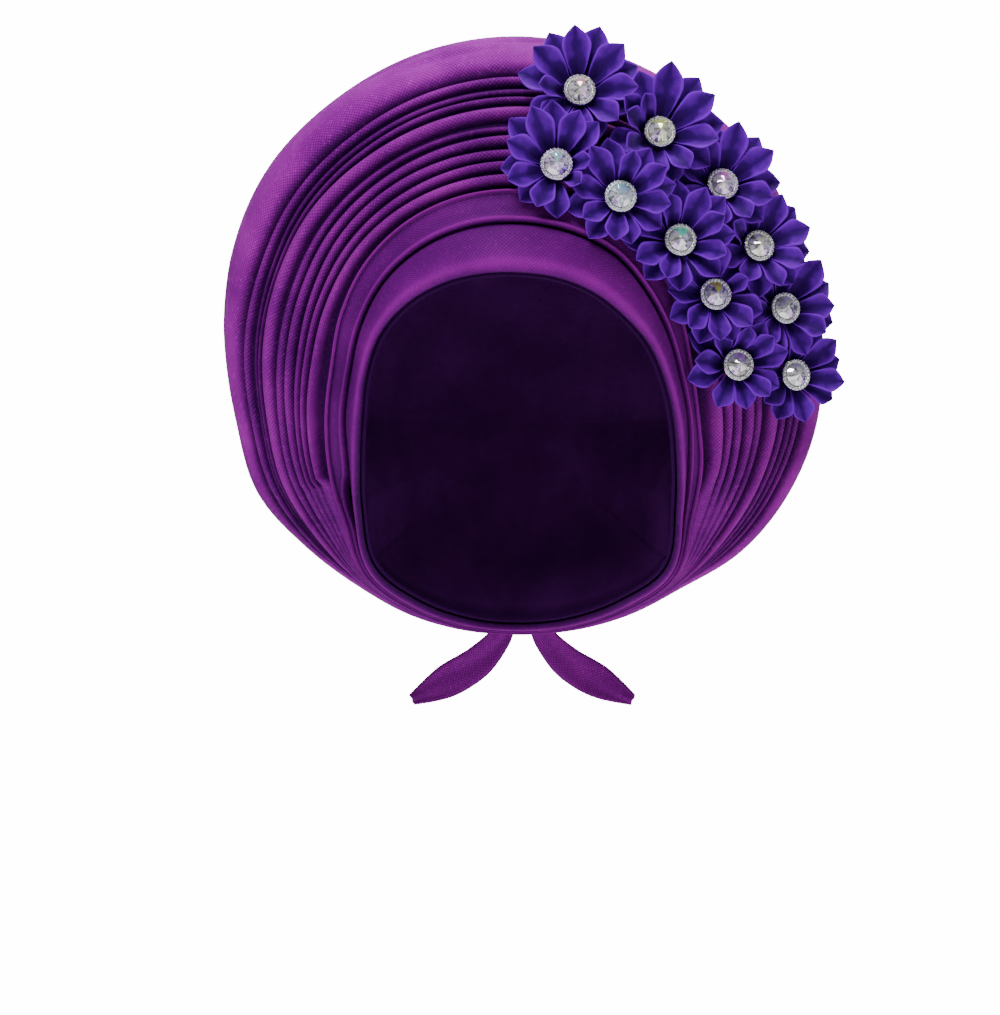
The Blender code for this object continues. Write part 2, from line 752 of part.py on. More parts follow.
def choose_petal(frame, planes, tree, way, root, height, length, lowest):
    """Raise a crowded petal, or shorten it, until it stays on its own side."""
    for shorten in PETAL_SHARES:
        pitch = lowest
        while pitch <= max(lowest, STEEPEST_PITCH):
            points = petal_points(frame, way, root, height, length * shorten, pitch)
            if fits(frame, points, planes, tree):
                return points, pitch
            pitch += PITCH_STEP
    return points, pitch


def make_flower(name, frame, planes, tree, satin, collection):
    """Two rings of pointed ribbon petals on a rolled ribbon hub, as one body."""
    step = math.tau / PETAL_COUNT
    first = math.radians(frame["turn"])
    size = frame["size"]
    lower_top = PETAL_WALL + CLOTH_GAP
    upper_top = lower_top + LAYER_STEP
    layers = []
    lower_pitch = []
    petals = []
    for index in range(PETAL_COUNT):
        length = FLOWER_RADIUS * size - LOWER_ROOT
        points, pitch = choose_petal(frame, planes, tree, first + step * (index + 0.5),
                                     LOWER_ROOT, lower_top, length, LOWER_PITCH)
        petals.append(points)
        lower_pitch.append(pitch)
    layers.append((petals, LOWER_ROOT, lower_top, first + step * 0.5))
    petals = []
    for index in range(PETAL_COUNT):
        length = UPPER_RADIUS * size - UPPER_ROOT
        beside = max(lower_pitch[index - 1], lower_pitch[index]) + LAYER_PITCH
        points, _ = choose_petal(frame, planes, tree, first + step * index, UPPER_ROOT,
                                 upper_top, length, max(UPPER_PITCH, beside))
        petals.append(points)
    layers.append((petals, UPPER_ROOT, upper_top, first))
    shape = bmesh.new()
    rings = []
    for petals, root, top, start in layers:
        rings.append(add_petal_layer(shape, frame, petals, root, top, start))
    shape.faces.new(rings[0]["bottom"])
    shape.faces.new(rings[1]["top"])
    lower = rings[0]["top"]
    upper = rings[1]["bottom"]
    count = len(lower)
    for corner in range(count):
        after = (corner + 1) % count
        shape.faces.new((lower[corner], lower[after], upper[after - 1], upper[corner - 1]))
    mesh = bpy.data.meshes.new(name)
    bmesh.ops.recalc_face_normals(shape, faces=shape.faces)
    bmesh.ops.triangulate(shape, faces=shape.faces)
    shape.to_mesh(mesh)
    shape.free()
    return add_object(name, mesh, satin, collection, smooth=False)


def add_petal_layer(shape, frame, petals, root, top, start):
    """One ring of petals with a top and an underside, and the loops where it meets the hub."""
    step = math.tau / PETAL_COUNT
    normal = frame["normal"]
    valleys = []
    for index in range(PETAL_COUNT):
        way = start + step * (index - 0.5)
        point = (frame["base"] + (frame["right"] * math.sin(way) + frame["up"] * math.cos(way)) * root
                 + normal * top)
        valleys.append((shape.verts.new(point), shape.verts.new(point - normal * PETAL_WALL)))
    loops = {"top": [], "bottom": []}
    corners = []
    for petal in petals:
        drop = petal["lift"] * PETAL_WALL
        upper = {key: shape.verts.new(petal[key]) for key in ("left", "right", "tip")}
        lower = {key: shape.verts.new(petal[key] - drop) for key in ("left", "right", "tip")}
        upper["root"] = shape.verts.new(petal["root"])
        lower["root"] = shape.verts.new(petal["root"] - normal * PETAL_WALL)
        corners.append((upper, lower))
    for index, (upper, lower) in enumerate(corners):
        before = valleys[index]
        after = valleys[(index + 1) % PETAL_COUNT]
        for level, points in ((0, upper), (1, lower)):
            shape.faces.new((before[level], points["left"], points["root"]))
            shape.faces.new((points["left"], points["tip"], points["root"]))
            shape.faces.new((points["tip"], points["right"], points["root"]))
            shape.faces.new((points["right"], after[level], points["root"]))
        outline_top = [before[0], upper["left"], upper["tip"], upper["right"], after[0]]
        outline_low = [before[1], lower["left"], lower["tip"], lower["right"], after[1]]
        for edge in range(4):
            shape.faces.new((outline_top[edge], outline_top[edge + 1],
                             outline_low[edge + 1], outline_low[edge]))
        loops["top"] += [before[0], upper["root"]]
        loops["bottom"] += [before[1], lower["root"]]
    return loops


def turned_object(name, profile, sides, frame, material, collection):
    """A closed turned piece on the flower's axis; profile is (radius, height) from the axis."""
    shape = bmesh.new()
    loops = []
    for radius, height in profile:
        if radius == 0:
            loops.append([shape.verts.new(Vector((0, 0, height)))])
            continue
        loop = []
        for side in range(sides):
            way = math.tau * side / sides
            loop.append(shape.verts.new((radius * math.cos(way), radius * math.sin(way), height)))
        loops.append(loop)
    for lower, upper in zip(loops, loops[1:]):
        for side in range(sides):
            after = (side + 1) % sides
            if len(lower) == 1:
                shape.faces.new((lower[0], upper[side], upper[after]))
            elif len(upper) == 1:
                shape.faces.new((lower[side], lower[after], upper[0]))
            else:
                shape.faces.new((lower[side], lower[after], upper[after], upper[side]))
    if len(loops[0]) > 1:
        shape.faces.new(loops[0])
    if len(loops[-1]) > 1:
        shape.faces.new(loops[-1])
    bmesh.ops.recalc_face_normals(shape, faces=shape.faces)
    mesh = bpy.data.meshes.new(name)
    shape.to_mesh(mesh)
    shape.free()
    turned = add_object(name, mesh, material, collection, smooth=False)
    turned.matrix_world = Matrix((
        (*[frame[key].x for key in ("right", "up", "normal")], frame["base"].x),
        (*[frame[key].y for key in ("right", "up", "normal")], frame["base"].y),
        (*[frame[key].z for key in ("right", "up", "normal")], frame["base"].z),
        (0, 0, 0, 1)))
    return turned


def make_brooch(number, frame, silver, crystal, collection):
    """A round silver cup with a raised rim, and the pointed cut stone that it holds."""
    seat = PETAL_WALL + 2 * CLOTH_GAP + LAYER_STEP
    bore = CRYSTAL_RADIUS + STONE_GAP
    lip = seat + SETTING_HEIGHT
    floor = seat + SETTING_FLOOR
    belly = seat + SETTING_HEIGHT * SETTING_BELLY
    cup = ((SETTING_RADIUS * SETTING_FOOT, seat), (SETTING_RADIUS, belly),
           (SETTING_RADIUS * SETTING_LIP, lip), (bore, lip - STONE_GAP),
           (bore * BORE_TAPER, floor))
    turned_object("setting_%02d" % number, cup, SETTING_SIDES, frame, silver, collection)
    base = floor + STONE_GAP
    stone = ((CRYSTAL_RADIUS * CRYSTAL_FOOT, base), (CRYSTAL_RADIUS, base + CRYSTAL_GIRDLE),
             (CRYSTAL_RADIUS * CRYSTAL_TABLE, base + CRYSTAL_HEIGHT))
    turned_object("crystal_%02d" % number, stone, CRYSTAL_SIDES, frame, crystal, collection)


def build():
    clear_scene()
    collection = bpy.data.collections.new("tied_head_wrap")
    bpy.context.scene.collection.children.link(collection)
    cloth = make_material("wrap_cloth", CLOTH, 0.55)
    cap_cloth = make_material("cap_cloth", CLOTH_DARK, 0.75)
    satin = make_material("ribbon_satin", SATIN, 0.40)
    silver = make_material("silver", SILVER, 0.25, 1.0)
    crystal = make_material("crystal", CRYSTAL, 0.05)
    make_cap(cap_cloth, collection)
    make_bands(cloth, collection)
    inner = bpy.data.objects["inner_band"]
    fan = make_fan(cloth, collection)
    rim = make_rim(cloth, collection)
    wrap = make_back(cloth, collection)
    bpy.context.view_layer.update()
    bundle = make_knot(cloth, collection, surface_tree([wrap, rim]))
    knot_tree = surface_tree([bundle])
    make_tail("tie_tail_left", -1, cloth, collection, bundle, knot_tree)
    make_tail("tie_tail_right", 1, cloth, collection, bundle, knot_tree)
    tree = surface_tree([inner, fan, rim])
    frames = flower_frames(tree)
    limits = flower_limits(frames)
    for number, (row, frame, planes) in enumerate(zip(FLOWERS, frames, limits), 1):
        make_flower(row[0], frame, planes, tree, satin, collection)
        make_brooch(number, frame, silver, crystal, collection)


build()
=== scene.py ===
"""Tied head wrap, dressed: pleated purple cloth, ribbon flowers and crystal brooches."""

import math
import random

import bmesh
import bpy
from mathutils import Matrix, Vector
from mathutils.bvhtree import BVHTree


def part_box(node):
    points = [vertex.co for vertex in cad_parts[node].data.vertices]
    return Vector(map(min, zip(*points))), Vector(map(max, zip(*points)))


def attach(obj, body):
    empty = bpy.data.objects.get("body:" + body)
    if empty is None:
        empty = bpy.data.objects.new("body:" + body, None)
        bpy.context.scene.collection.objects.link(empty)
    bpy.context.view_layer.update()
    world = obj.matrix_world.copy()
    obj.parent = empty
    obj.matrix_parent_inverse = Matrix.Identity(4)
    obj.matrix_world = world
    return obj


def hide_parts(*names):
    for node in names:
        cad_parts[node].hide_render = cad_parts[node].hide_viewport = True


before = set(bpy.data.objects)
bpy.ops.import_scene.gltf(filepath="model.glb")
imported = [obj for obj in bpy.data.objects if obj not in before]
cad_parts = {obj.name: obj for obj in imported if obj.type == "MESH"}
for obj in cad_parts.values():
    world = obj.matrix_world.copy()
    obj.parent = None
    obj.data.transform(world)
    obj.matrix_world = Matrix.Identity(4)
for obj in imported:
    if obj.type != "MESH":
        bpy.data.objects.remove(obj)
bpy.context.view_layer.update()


# The close cap
# A cap of plain stretch cloth takes the head and carries all the rings of cloth, which are sewn
# to it round the face. Every ring is set out round one line, the hub, that runs back through
# the middle of the face opening; the tables give where the seams lie at each angle round it.
HUB_X = -0.0017
HUB_DROP = 0.101
HEAD_WIDTH = 0.150
HEAD_LENGTH = 0.190
HEAD_BACK = 0.010
HEAD_CURVE = 2.2
CAP_WALL = 0.0015
CAP_GAP = 0.0005
CAP_CHEEK_ANGLE = 88
CAP_JAW_ANGLE = 118
CAP_LEAST_BULGE = 1.004
# Painted shadow along the cap's front edge, and how much of it goes each row back.
CAP_EDGE_PAINTED_SHADOW = 0.9
CAP_PAINTED_SHADOW_STEP = 0.3
OPENING_RADIUS = 0.060
BAND_WIDTH = 0.020
INNER_WIDTH = 0.0135
FAN_RADIUS = 0.158
RIM_WIDTH = 0.019
FAN_LEAN = 0.057
BAND_WALL = 0.0020
CLOTH_GAP = 0.0003
HEAD_MIDDLE = Vector((0.0, HEAD_BACK, -HUB_DROP))
AROUND = 288
CAP_STEPS = 28

HOOPS = (
    # angle, face, band, inner, rim, outline
    (-180, 1.50, 0.05, 0.07, 0.10, 0.590),
    (-165, 1.50, 0.05, 0.08, 0.10, 0.595),
    (-150, 1.50, 0.06, 0.10, 0.10, 0.608),
    (-135, 1.48, 0.07, 0.13, 0.11, 0.627),
    (-120, 1.30, 0.10, 0.30, 0.15, 0.670),
    (-105, 1.16, 0.19, 0.55, 0.31, 0.728),
    (-90, 1.09, 0.32, 0.52, 0.36, 0.755),
    (-75, 1.09, 0.31, 0.56, 0.46, 0.808),
    (-60, 1.10, 0.43, 0.66, 0.76, 0.881),
    (-45, 1.07, 0.66, 0.76, 0.90, 0.939),
    (-30, 1.02, 0.85, 0.87, 0.96, 0.970),
    (-15, 0.97, 0.97, 0.95, 1.00, 0.993),
    (0, 0.94, 1.00, 0.99, 1.00, 0.999),
    (15, 0.94, 0.96, 0.95, 0.95, 0.981),
    (30, 0.95, 0.88, 0.80, 0.87, 0.954),
    (45, 0.96, 0.68, 0.75, 0.78, 0.918),
    (60, 0.99, 0.46, 0.51, 0.58, 0.858),
    (75, 1.01, 0.32, 0.36, 0.47, 0.821),
    (90, 1.05, 0.27, 0.28, 0.38, 0.791),
    (105, 1.13, 0.19, 0.38, 0.32, 0.746),
    (120, 1.28, 0.10, 0.27, 0.23, 0.694),
    (135, 1.49, 0.07, 0.13, 0.12, 0.633),
    (150, 1.50, 0.06, 0.10, 0.10, 0.609),
    (165, 1.50, 0.05, 0.08, 0.10, 0.595),
)
DEPTHS = (
    # angle, face, lean, band, inner, rim
    (0, -0.416, 1.00, 0.06, 0.17, 0.56),
    (15, -0.405, 0.98, 0.06, 0.17, 0.57),
    (30, -0.374, 0.965, 0.06, 0.17, 0.60),
    (45, -0.330, 0.93, 0.06, 0.17, 0.64),
    (60, -0.282, 0.90, 0.07, 0.17, 0.69),
    (75, -0.242, 0.94, 0.08, 0.18, 0.73),
    (90, -0.202, 0.95, 0.09, 0.20, 0.77),
    (105, -0.132, 0.86, 0.11, 0.24, 0.78),
    (120, -0.032, 0.67, 0.14, 0.28, 0.76),
    (135, 0.063, 0.53, 0.17, 0.33, 0.74),
    (150, 0.179, 0.44, 0.19, 0.36, 0.72),
    (165, 0.305, 0.38, 0.20, 0.38, 0.70),
    (180, 0.395, 0.36, 0.20, 0.38, 0.70),
)


def smooth_value(rows, column, where, period=None):
    """Read a table's column at any place along its first column, on a smooth curve."""
    keys = [row[0] for row in rows]
    values = [row[column] for row in rows]
    if period:
        where = (where - keys[0]) % period + keys[0]
        keys = [keys[-1] - period] + keys + [keys[0] + period, keys[1] + period]
        values = [values[-1]] + values + [values[0], values[1]]
    else:
        keys = [2 * keys[0] - keys[1]] + keys + [2 * keys[-1] - keys[-2]]
        values = [values[1]] + values + [values[-2]]
    index = 1
    while index < len(keys) - 3 and where > keys[index + 1]:
        index += 1
    share = min(max((where - keys[index]) / (keys[index + 1] - keys[index]), 0.0), 1.0)
    before, start, end, after = values[index - 1:index + 3]
    square = share * share
    cube = square * share
    return ((2 * cube - 3 * square + 1) * start + (cube - 2 * square + share) * (end - before) / 2
            + (3 * square - 2 * cube) * end + (cube - square) * (after - start) / 2)


def smooth_row(rows, where, period=None):
    """Read all of a table's columns but the first at one place along it."""
    return [smooth_value(rows, column, where, period) for column in range(1, len(rows[0]))]


def hoop(angle):
    """Seams of the rings at one angle, each as (radius, depth): face, band, inner, rim, outline."""
    shares = smooth_row(HOOPS, angle, 360)
    face = OPENING_RADIUS * shares[0]
    band = face + BAND_WIDTH * shares[1]
    inner = band + INNER_WIDTH * shares[2]
    outline = FAN_RADIUS * shares[4]
    rim = outline - RIM_WIDTH * shares[3]
    turn = abs((angle + 180) % 360 - 180)
    front, lean, *behind = smooth_row(DEPTHS, turn)
    depths = [HEAD_LENGTH * front + FAN_LEAN * lean * share for share in (0.0, *behind, 1.0)]
    return [Vector(seam) for seam in zip((face, band, inner, rim, outline), depths)]


def place(angle, radius, depth):
    turn = math.radians(angle)
    return Vector((HUB_X + radius * math.sin(turn), depth, radius * math.cos(turn) - HUB_DROP))


def outward(start, end):
    along = end - start
    return Vector((along.y, -along.x)).normalized()


def ease(start, end, value):
    share = min(max((value - start) / (end - start), 0.0), 1.0)
    return share * share * (3 - 2 * share)


def apply_modifier(piece, kind, **settings):
    bpy.ops.object.select_all(action="DESELECT")
    piece.select_set(True)
    bpy.context.view_layer.objects.active = piece
    bpy.ops.object.modifier_add(type=kind)
    modifier = piece.modifiers[-1]
    for key, value in settings.items():
        setattr(modifier, key, value)
    bpy.ops.object.modifier_apply(modifier=modifier.name)


def edit_all(operator, **settings):
    """Run one of edit mode's operators on the whole of the active piece."""
    bpy.ops.object.mode_set(mode="EDIT")
    bpy.ops.mesh.select_all(action="SELECT")
    operator(**settings)
    bpy.ops.object.mode_set(mode="OBJECT")


def cloth_grid(name, columns, rows, point_at, painted_light_at=None, looks_from=None, ring=True, strips=None):
    """A grid of cloth laid over a surface. Its UV map holds the cloth's own metres, along its
    length in U and across in V; strips gives, for each row, the row whose length it is measured
    on. It also holds painted light per point, from -1, painted shade deep in a fold, to 1, a painted
    highlight on a crest."""
    bpy.ops.object.select_all(action="DESELECT")
    bpy.ops.mesh.primitive_grid_add(x_subdivisions=columns, y_subdivisions=rows, size=1)
    piece = bpy.context.object
    piece.name = name
    mesh = piece.data
    mesh.name = name
    points = [[point_at(column / columns, row) for row in range(rows + 1)]
              for column in range(columns + 1)]
    cells = []
    for vertex in mesh.vertices:
        column = round((vertex.co.x + 0.5) * columns)
        row = round((vertex.co.y + 0.5) * rows)
        cells.append((column, row))
    for vertex, (column, row) in zip(mesh.vertices, cells):
        vertex.co = points[column][row]
    # Painted shade and painted highlight per point, which the cloth's material reads.
    painted_light_values = mesh.attributes.new("painted_shade_and_light", "FLOAT", "POINT")
    for index, (column, row) in enumerate(cells):
        painted_light_values.data[index].value = painted_light_at(column / columns, row) if painted_light_at else 0.0
    lengths = []
    for row in range(rows):
        run = [0.0]
        middle = strips[row] if strips else rows // 2
        for column in range(columns):
            run.append(run[-1] + (points[column + 1][middle] - points[column][middle]).length)
        lengths.append(run)
    widest = max(range(columns), key=lambda column: sum(
        (points[column][row + 1] - points[column][row]).length for row in range(rows)))
    across = [0.0]
    for row in range(rows):
        across.append(across[-1] + (points[widest][row + 1] - points[widest][row]).length)
    layer = mesh.uv_layers[0].data
    for face in mesh.polygons:
        low_row = min(cells[corner][1] for corner in face.vertices)
        for loop in face.loop_indices:
            column, row = cells[mesh.loops[loop].vertex_index]
            layer[loop].uv = (lengths[low_row][column], across[row])
    if ring:
        edit_all(bpy.ops.mesh.remove_doubles, threshold=0.000001)
    middle = looks_from or HEAD_MIDDLE
    if sum(face.normal.dot(face.center - middle) * face.area for face in mesh.polygons) < 0:
        edit_all(bpy.ops.mesh.flip_normals)
    bpy.ops.object.shade_smooth()
    return piece


def add_wall(piece, thickness):
    """Give a sheet its thickness, inwards from the side that shows."""
    apply_modifier(piece, "SOLIDIFY", thickness=thickness, offset=-1.0)


def cloth_ring(name, rows, wall, point_at, painted_light_at, strips=None):
    """A ring of cloth round the hub, from functions that take an angle and a row."""
    def around(read):
        return lambda turn, row: read(turn * 360 - 180, row)

    ring = cloth_grid(name, AROUND, rows, around(point_at), around(painted_light_at), strips=strips)
    add_wall(ring, wall)
    return ring


def painted_light_across(rows, steps):
    """Painted shade and highlight read from a table across the cloth, the same all round the ring."""
    return lambda angle, row: smooth_value(rows, 1, row / steps)


def finish_piece(piece, node, material):
    piece.data.materials.clear()
    piece.data.materials.append(material)
    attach(piece, "root")
    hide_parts(node)


def new_node(tree, kind, inputs=None, **settings):
    node = tree.nodes.new(kind)
    for key, value in settings.items():
        setattr(node, key, value)
    for key, value in (inputs or {}).items():
        if isinstance(value, bpy.types.NodeSocket):
            tree.links.new(value, node.inputs[key])
        else:
            node.inputs[key].default_value = value
    return node


def new_group(name, values, outputs):
    group = bpy.data.node_groups.new(name, "ShaderNodeTree")
    for label, value in values.items():
        socket = group.interface.new_socket(name=label, in_out="INPUT", socket_type="NodeSocketFloat")
        socket.default_value = value
    for label in outputs:
        group.interface.new_socket(name=label, in_out="OUTPUT", socket_type="NodeSocketFloat")
    return group, group.nodes.new("NodeGroupInput"), group.nodes.new("NodeGroupOutput")


def use_group(tree, group, **values):
    node = tree.nodes.new("ShaderNodeGroup")
    node.node_tree = group
    for label, value in values.items():
        node.inputs[label.replace("_", " ")].default_value = value
    return node


def math_node(tree, operation, first, second=0.0, third=0.0):
    return new_node(tree, "ShaderNodeMath", {0: first, 1: second, 2: third},
                    operation=operation).outputs[0]


def mix_colours(tree, share, first, second):
    return new_node(tree, "ShaderNodeMix", {0: share, 6: first, 7: second}, data_type="RGBA").outputs[2]


def dye_ramp(tree, level, dye, stops):
    """A blend through a dye's dark, middle and bright colours, each at its own level."""
    ramp = new_node(tree, "ShaderNodeValToRGB", {0: level})
    elements = ramp.color_ramp.elements
    elements[0].position = stops[0]
    elements[1].position = stops[2]
    elements.new(stops[1])
    for element, colour in zip(elements, dye):
        element.color = (*colour, 1.0)
    return ramp.outputs[0]


def new_material(name, colour, roughness, **plain):
    """A material and its shader, with the shader's other sockets set by their names."""
    material = bpy.data.materials.new(name)
    material.use_nodes = True
    shader = material.node_tree.nodes["Principled BSDF"]
    shader.inputs["Base Color"].default_value = (*colour, 1.0)
    shader.inputs["Roughness"].default_value = roughness
    for label, value in plain.items():
        shader.inputs[label.replace("_", " ")].default_value = value
    return material, shader


def weave_group():
    """Threads of the cloth: a staggered pattern of raised dots, with fine ribs between them."""
    values = {"Dot Pitch": 0.0021, "Rib Pitch": 0.0007}
    group, given, result = new_group("cloth_weave", values, ("Dots", "Ribs"))
    cloth = new_node(group, "ShaderNodeUVMap")
    parts = new_node(group, "ShaderNodeSeparateXYZ", {0: cloth.outputs[0]})
    along, across = parts.outputs[0], parts.outputs[1]
    turns = math_node(group, "DIVIDE", math.tau, given.outputs["Dot Pitch"])
    first = math_node(group, "COSINE", math_node(group, "MULTIPLY", along, turns))
    second = math_node(group, "COSINE", math_node(group, "MULTIPLY", across, turns))
    dots = math_node(group, "MULTIPLY_ADD", math_node(group, "MULTIPLY", first, second), 0.5, 0.5)
    group.links.new(dots, result.inputs["Dots"])
    turns = math_node(group, "DIVIDE", math.tau, given.outputs["Rib Pitch"])
    slope = math_node(group, "ADD", along, across)
    ribs = math_node(group, "SINE", math_node(group, "MULTIPLY", slope, turns))
    group.links.new(math_node(group, "MULTIPLY_ADD", ribs, 0.5, 0.5), result.inputs["Ribs"])
    return group


def mottle_group():
    """Slow unevenness of dyed cloth, and a mask of small spots for painted sparkle: on the cloth a
    painted glint over its lighter metallic thread, on the crystals a painted sparkle.
    """
    values = {"Patch Size": 0.03, "Sparkle Size": 0.0016}
    group, given, result = new_group("cloth_mottle", values, ("Patches", "Sparkle"))
    where = new_node(group, "ShaderNodeTexCoord").outputs["Object"]
    scale = math_node(group, "DIVIDE", 1.0, given.outputs["Patch Size"])
    patches = new_node(group, "ShaderNodeTexNoise", {"Vector": where, "Scale": scale, "Detail": 3.0})
    group.links.new(patches.outputs[0], result.inputs["Patches"])
    scale = math_node(group, "DIVIDE", 1.0, given.outputs["Sparkle Size"])
    grains = new_node(group, "ShaderNodeTexNoise", {"Vector": where, "Scale": scale, "Detail": 1.0})
    sparkle = new_node(group, "ShaderNodeMapRange", {0: grains.outputs[0], 1: 0.56, 2: 0.70})
    group.links.new(sparkle.outputs[0], result.inputs["Sparkle"])
    return group


WEAVE = weave_group()
MOTTLE = mottle_group()
RIB_SHARE = 0.3
RIB_HEIGHT = 0.25
DYE_LEVELS = (0.22, 0.55, 0.95)
USUAL_TEXTURE = 0.36
USUAL_PATCHY = 0.7
# Painted light on the folds: how far it moves the dye's level, how strongly painted shade darkens deep
# folds, and the painted shade's colour as a share of the dark dye.
FOLD_PAINTED_LIGHT = 0.46
CLOTH_FOLD_PAINTED_SHADE = 0.68
PAINTED_SHADE_COLOUR_SHARE = 1.25
GLINT_GAIN = 2.2
GLINT_ROUGHNESS = 0.55


def cloth_material(name, dye, dot_pitch, bump, roughness, sparkle, texture=0.34, patchy=0.7,
                   shine=0.04):
    """Woven cloth: dark between the threads, bright on their crests, with a broken sparkle that is
    partly lighter metallic thread and partly painted glint. Painted shade from the cloth's fold
    attribute darkens its folds and painted highlight lightens its crests. The dye's levels move
    down where the weave and the patches add less, so its mean tone stays."""
    dark, middle, bright = dye
    material, shader = new_material(name, middle, roughness, Sheen_Weight=0.02, Sheen_Roughness=0.4,
                                    Specular_IOR_Level=shine)
    shader.inputs["Sheen Tint"].default_value = (*bright, 1.0)
    shift = ((USUAL_TEXTURE - texture) * (1 + RIB_SHARE) + USUAL_PATCHY - patchy) / 2
    tree = material.node_tree
    weave = use_group(tree, WEAVE, Dot_Pitch=dot_pitch, Rib_Pitch=dot_pitch / 3)
    mottle = use_group(tree, MOTTLE)
    level = math_node(tree, "MULTIPLY_ADD", weave.outputs["Dots"], texture,
                      math_node(tree, "MULTIPLY", weave.outputs["Ribs"], texture * RIB_SHARE))
    level = math_node(tree, "MULTIPLY_ADD", mottle.outputs["Patches"], patchy, level)
    # Painted shade and highlight from the fold attribute move the dye's level.
    folds = new_node(tree, "ShaderNodeAttribute", attribute_name="painted_shade_and_light",
                     attribute_type="GEOMETRY").outputs["Fac"]
    level = math_node(tree, "MULTIPLY_ADD", folds, FOLD_PAINTED_LIGHT, level)
    dyed = dye_ramp(tree, level, dye, [max(stop - shift, 0.0) for stop in DYE_LEVELS])
    # Small spots of the metallic thread: partly its lighter colour, partly a painted glint.
    glint = math_node(tree, "MULTIPLY", weave.outputs["Dots"], mottle.outputs["Sparkle"])
    glint = math_node(tree, "MULTIPLY", glint, sparkle)
    lit = mix_colours(tree, glint, dyed, (*[min(1.0, part * GLINT_GAIN) for part in bright], 1.0))
    # Painted shade: deep folds are darkened towards the dark dye.
    depth = new_node(tree, "ShaderNodeMath", {0: folds, 1: -CLOTH_FOLD_PAINTED_SHADE}, operation="MULTIPLY",
                     use_clamp=True).outputs[0]
    painted_fold_shade = mix_colours(tree, depth, lit, (*[part * PAINTED_SHADE_COLOUR_SHARE for part in dark], 1.0))
    tree.links.new(painted_fold_shade, shader.inputs["Base Color"])
    rough = new_node(tree, "ShaderNodeMapRange",
                     {0: glint, 3: roughness, 4: roughness * GLINT_ROUGHNESS})
    tree.links.new(rough.outputs[0], shader.inputs["Roughness"])
    height = math_node(tree, "MULTIPLY_ADD", weave.outputs["Ribs"], RIB_HEIGHT, weave.outputs["Dots"])
    relief = new_node(tree, "ShaderNodeBump", {"Height": height, "Distance": bump, "Strength": 0.8})
    tree.links.new(relief.outputs[0], shader.inputs["Normal"])
    return material


def cap_point(angle, row):
    """A point on the outside of the cap: row 0 at its front edge, the last at the head's back."""
    share = row / CAP_STEPS
    face, _, root, _, _ = hoop(angle)
    edge = face - outward(face, root) * (BAND_WALL + CAP_GAP)
    turn = math.radians(angle)
    half = HEAD_WIDTH / 2 + CAP_WALL
    height = HUB_DROP + CAP_WALL
    head = 1 / math.hypot(math.sin(turn) / half, math.cos(turn) / height)
    jaw = CAP_JAW_ANGLE - CAP_CHEEK_ANGLE
    low = min(max((abs(angle) - CAP_CHEEK_ANGLE) / jaw, 0.0), 1.0)
    widest = max(edge.x * CAP_LEAST_BULGE, edge.x + (head - edge.x) * (1 - low))
    back = HEAD_LENGTH / 2 + CAP_WALL
    front = back
    if edge.y > HEAD_BACK:
        behind = (edge.y - HEAD_BACK) / back
        widest = edge.x / (1 - behind ** HEAD_CURVE) ** (1 / HEAD_CURVE)
        first = math.asin(behind ** (HEAD_CURVE / 2))
        sweep = first + (math.pi / 2 - first) * share
    else:
        closing = math.acos((edge.x / widest) ** (HEAD_CURVE / 2))
        front = (HEAD_BACK - edge.y) / math.sin(closing) ** (2 / HEAD_CURVE)
        sweep = -closing + (math.pi / 2 + closing) * share
    radius = widest * max(math.cos(sweep), 0.0) ** (2 / HEAD_CURVE)
    length = back if sweep > 0 else front
    depth = HEAD_BACK + math.copysign(length * abs(math.sin(sweep)) ** (2 / HEAD_CURVE), sweep)
    return place(angle, radius, depth)


# Painted shadow along the cap's front edge, fading over its first rows.
def cap_edge_painted_shadow(angle, row):
    return -max(0.0, CAP_EDGE_PAINTED_SHADOW - CAP_PAINTED_SHADOW_STEP * row)


# A dye's colours are dark between the threads, middle, and bright on their crests.
# The cap's own colours, kept darker than the other cloth as painted shade inside the opening.
CAP_DYE_AND_PAINTED_SHADE = ((0.022, 0.001, 0.042), (0.050, 0.003, 0.085), (0.09, 0.010, 0.14))
cap = cloth_ring("stretch_cap", CAP_STEPS, CAP_WALL, cap_point, cap_edge_painted_shadow)
cap_cloth = cloth_material("cap_stretch_cloth", CAP_DYE_AND_PAINTED_SHADE, dot_pitch=0.0012, bump=0.00012,
                           roughness=0.8, sparkle=0.0, shine=0.02)
finish_piece(cap, "cap", cap_cloth)


# The forehead band
# One folded strip of the purple cloth runs round the face. Its front edge rolls in towards
# the skin, it swells just above that edge, and it lies flat up to the next band.
BAND_RISE = 0.0038
BAND_FULLNESS = 1.5
BAND_SWING = 0.05
BAND_STEPS = 30
WALL_TUCK = 0.9
CLOTH_WALL = 0.0009
# The same purple cloth as the fan, its colours kept darker as painted shade.
BAND_DYE_AND_PAINTED_SHADE = ((0.030, 0.0, 0.055), (0.092, 0.0, 0.135), (0.25, 0.004, 0.29))
BAND_SECTION = (
    # step, along, rise, behind as a share of the band's wall
    (0.00, 0.060, 0.00, 1.00),
    (0.08, 0.000, 0.00, 0.45),
    (0.16, 0.000, 0.30, 0.00),
    (0.26, 0.080, 0.75, 0.00),
    (0.40, 0.240, 1.00, 0.00),
    (0.60, 0.520, 0.80, 0.00),
    (0.80, 0.820, 0.42, 0.00),
    (0.92, 0.970, 0.10, 0.00),
    (1.00, 0.990, 0.00, 0.80),
)
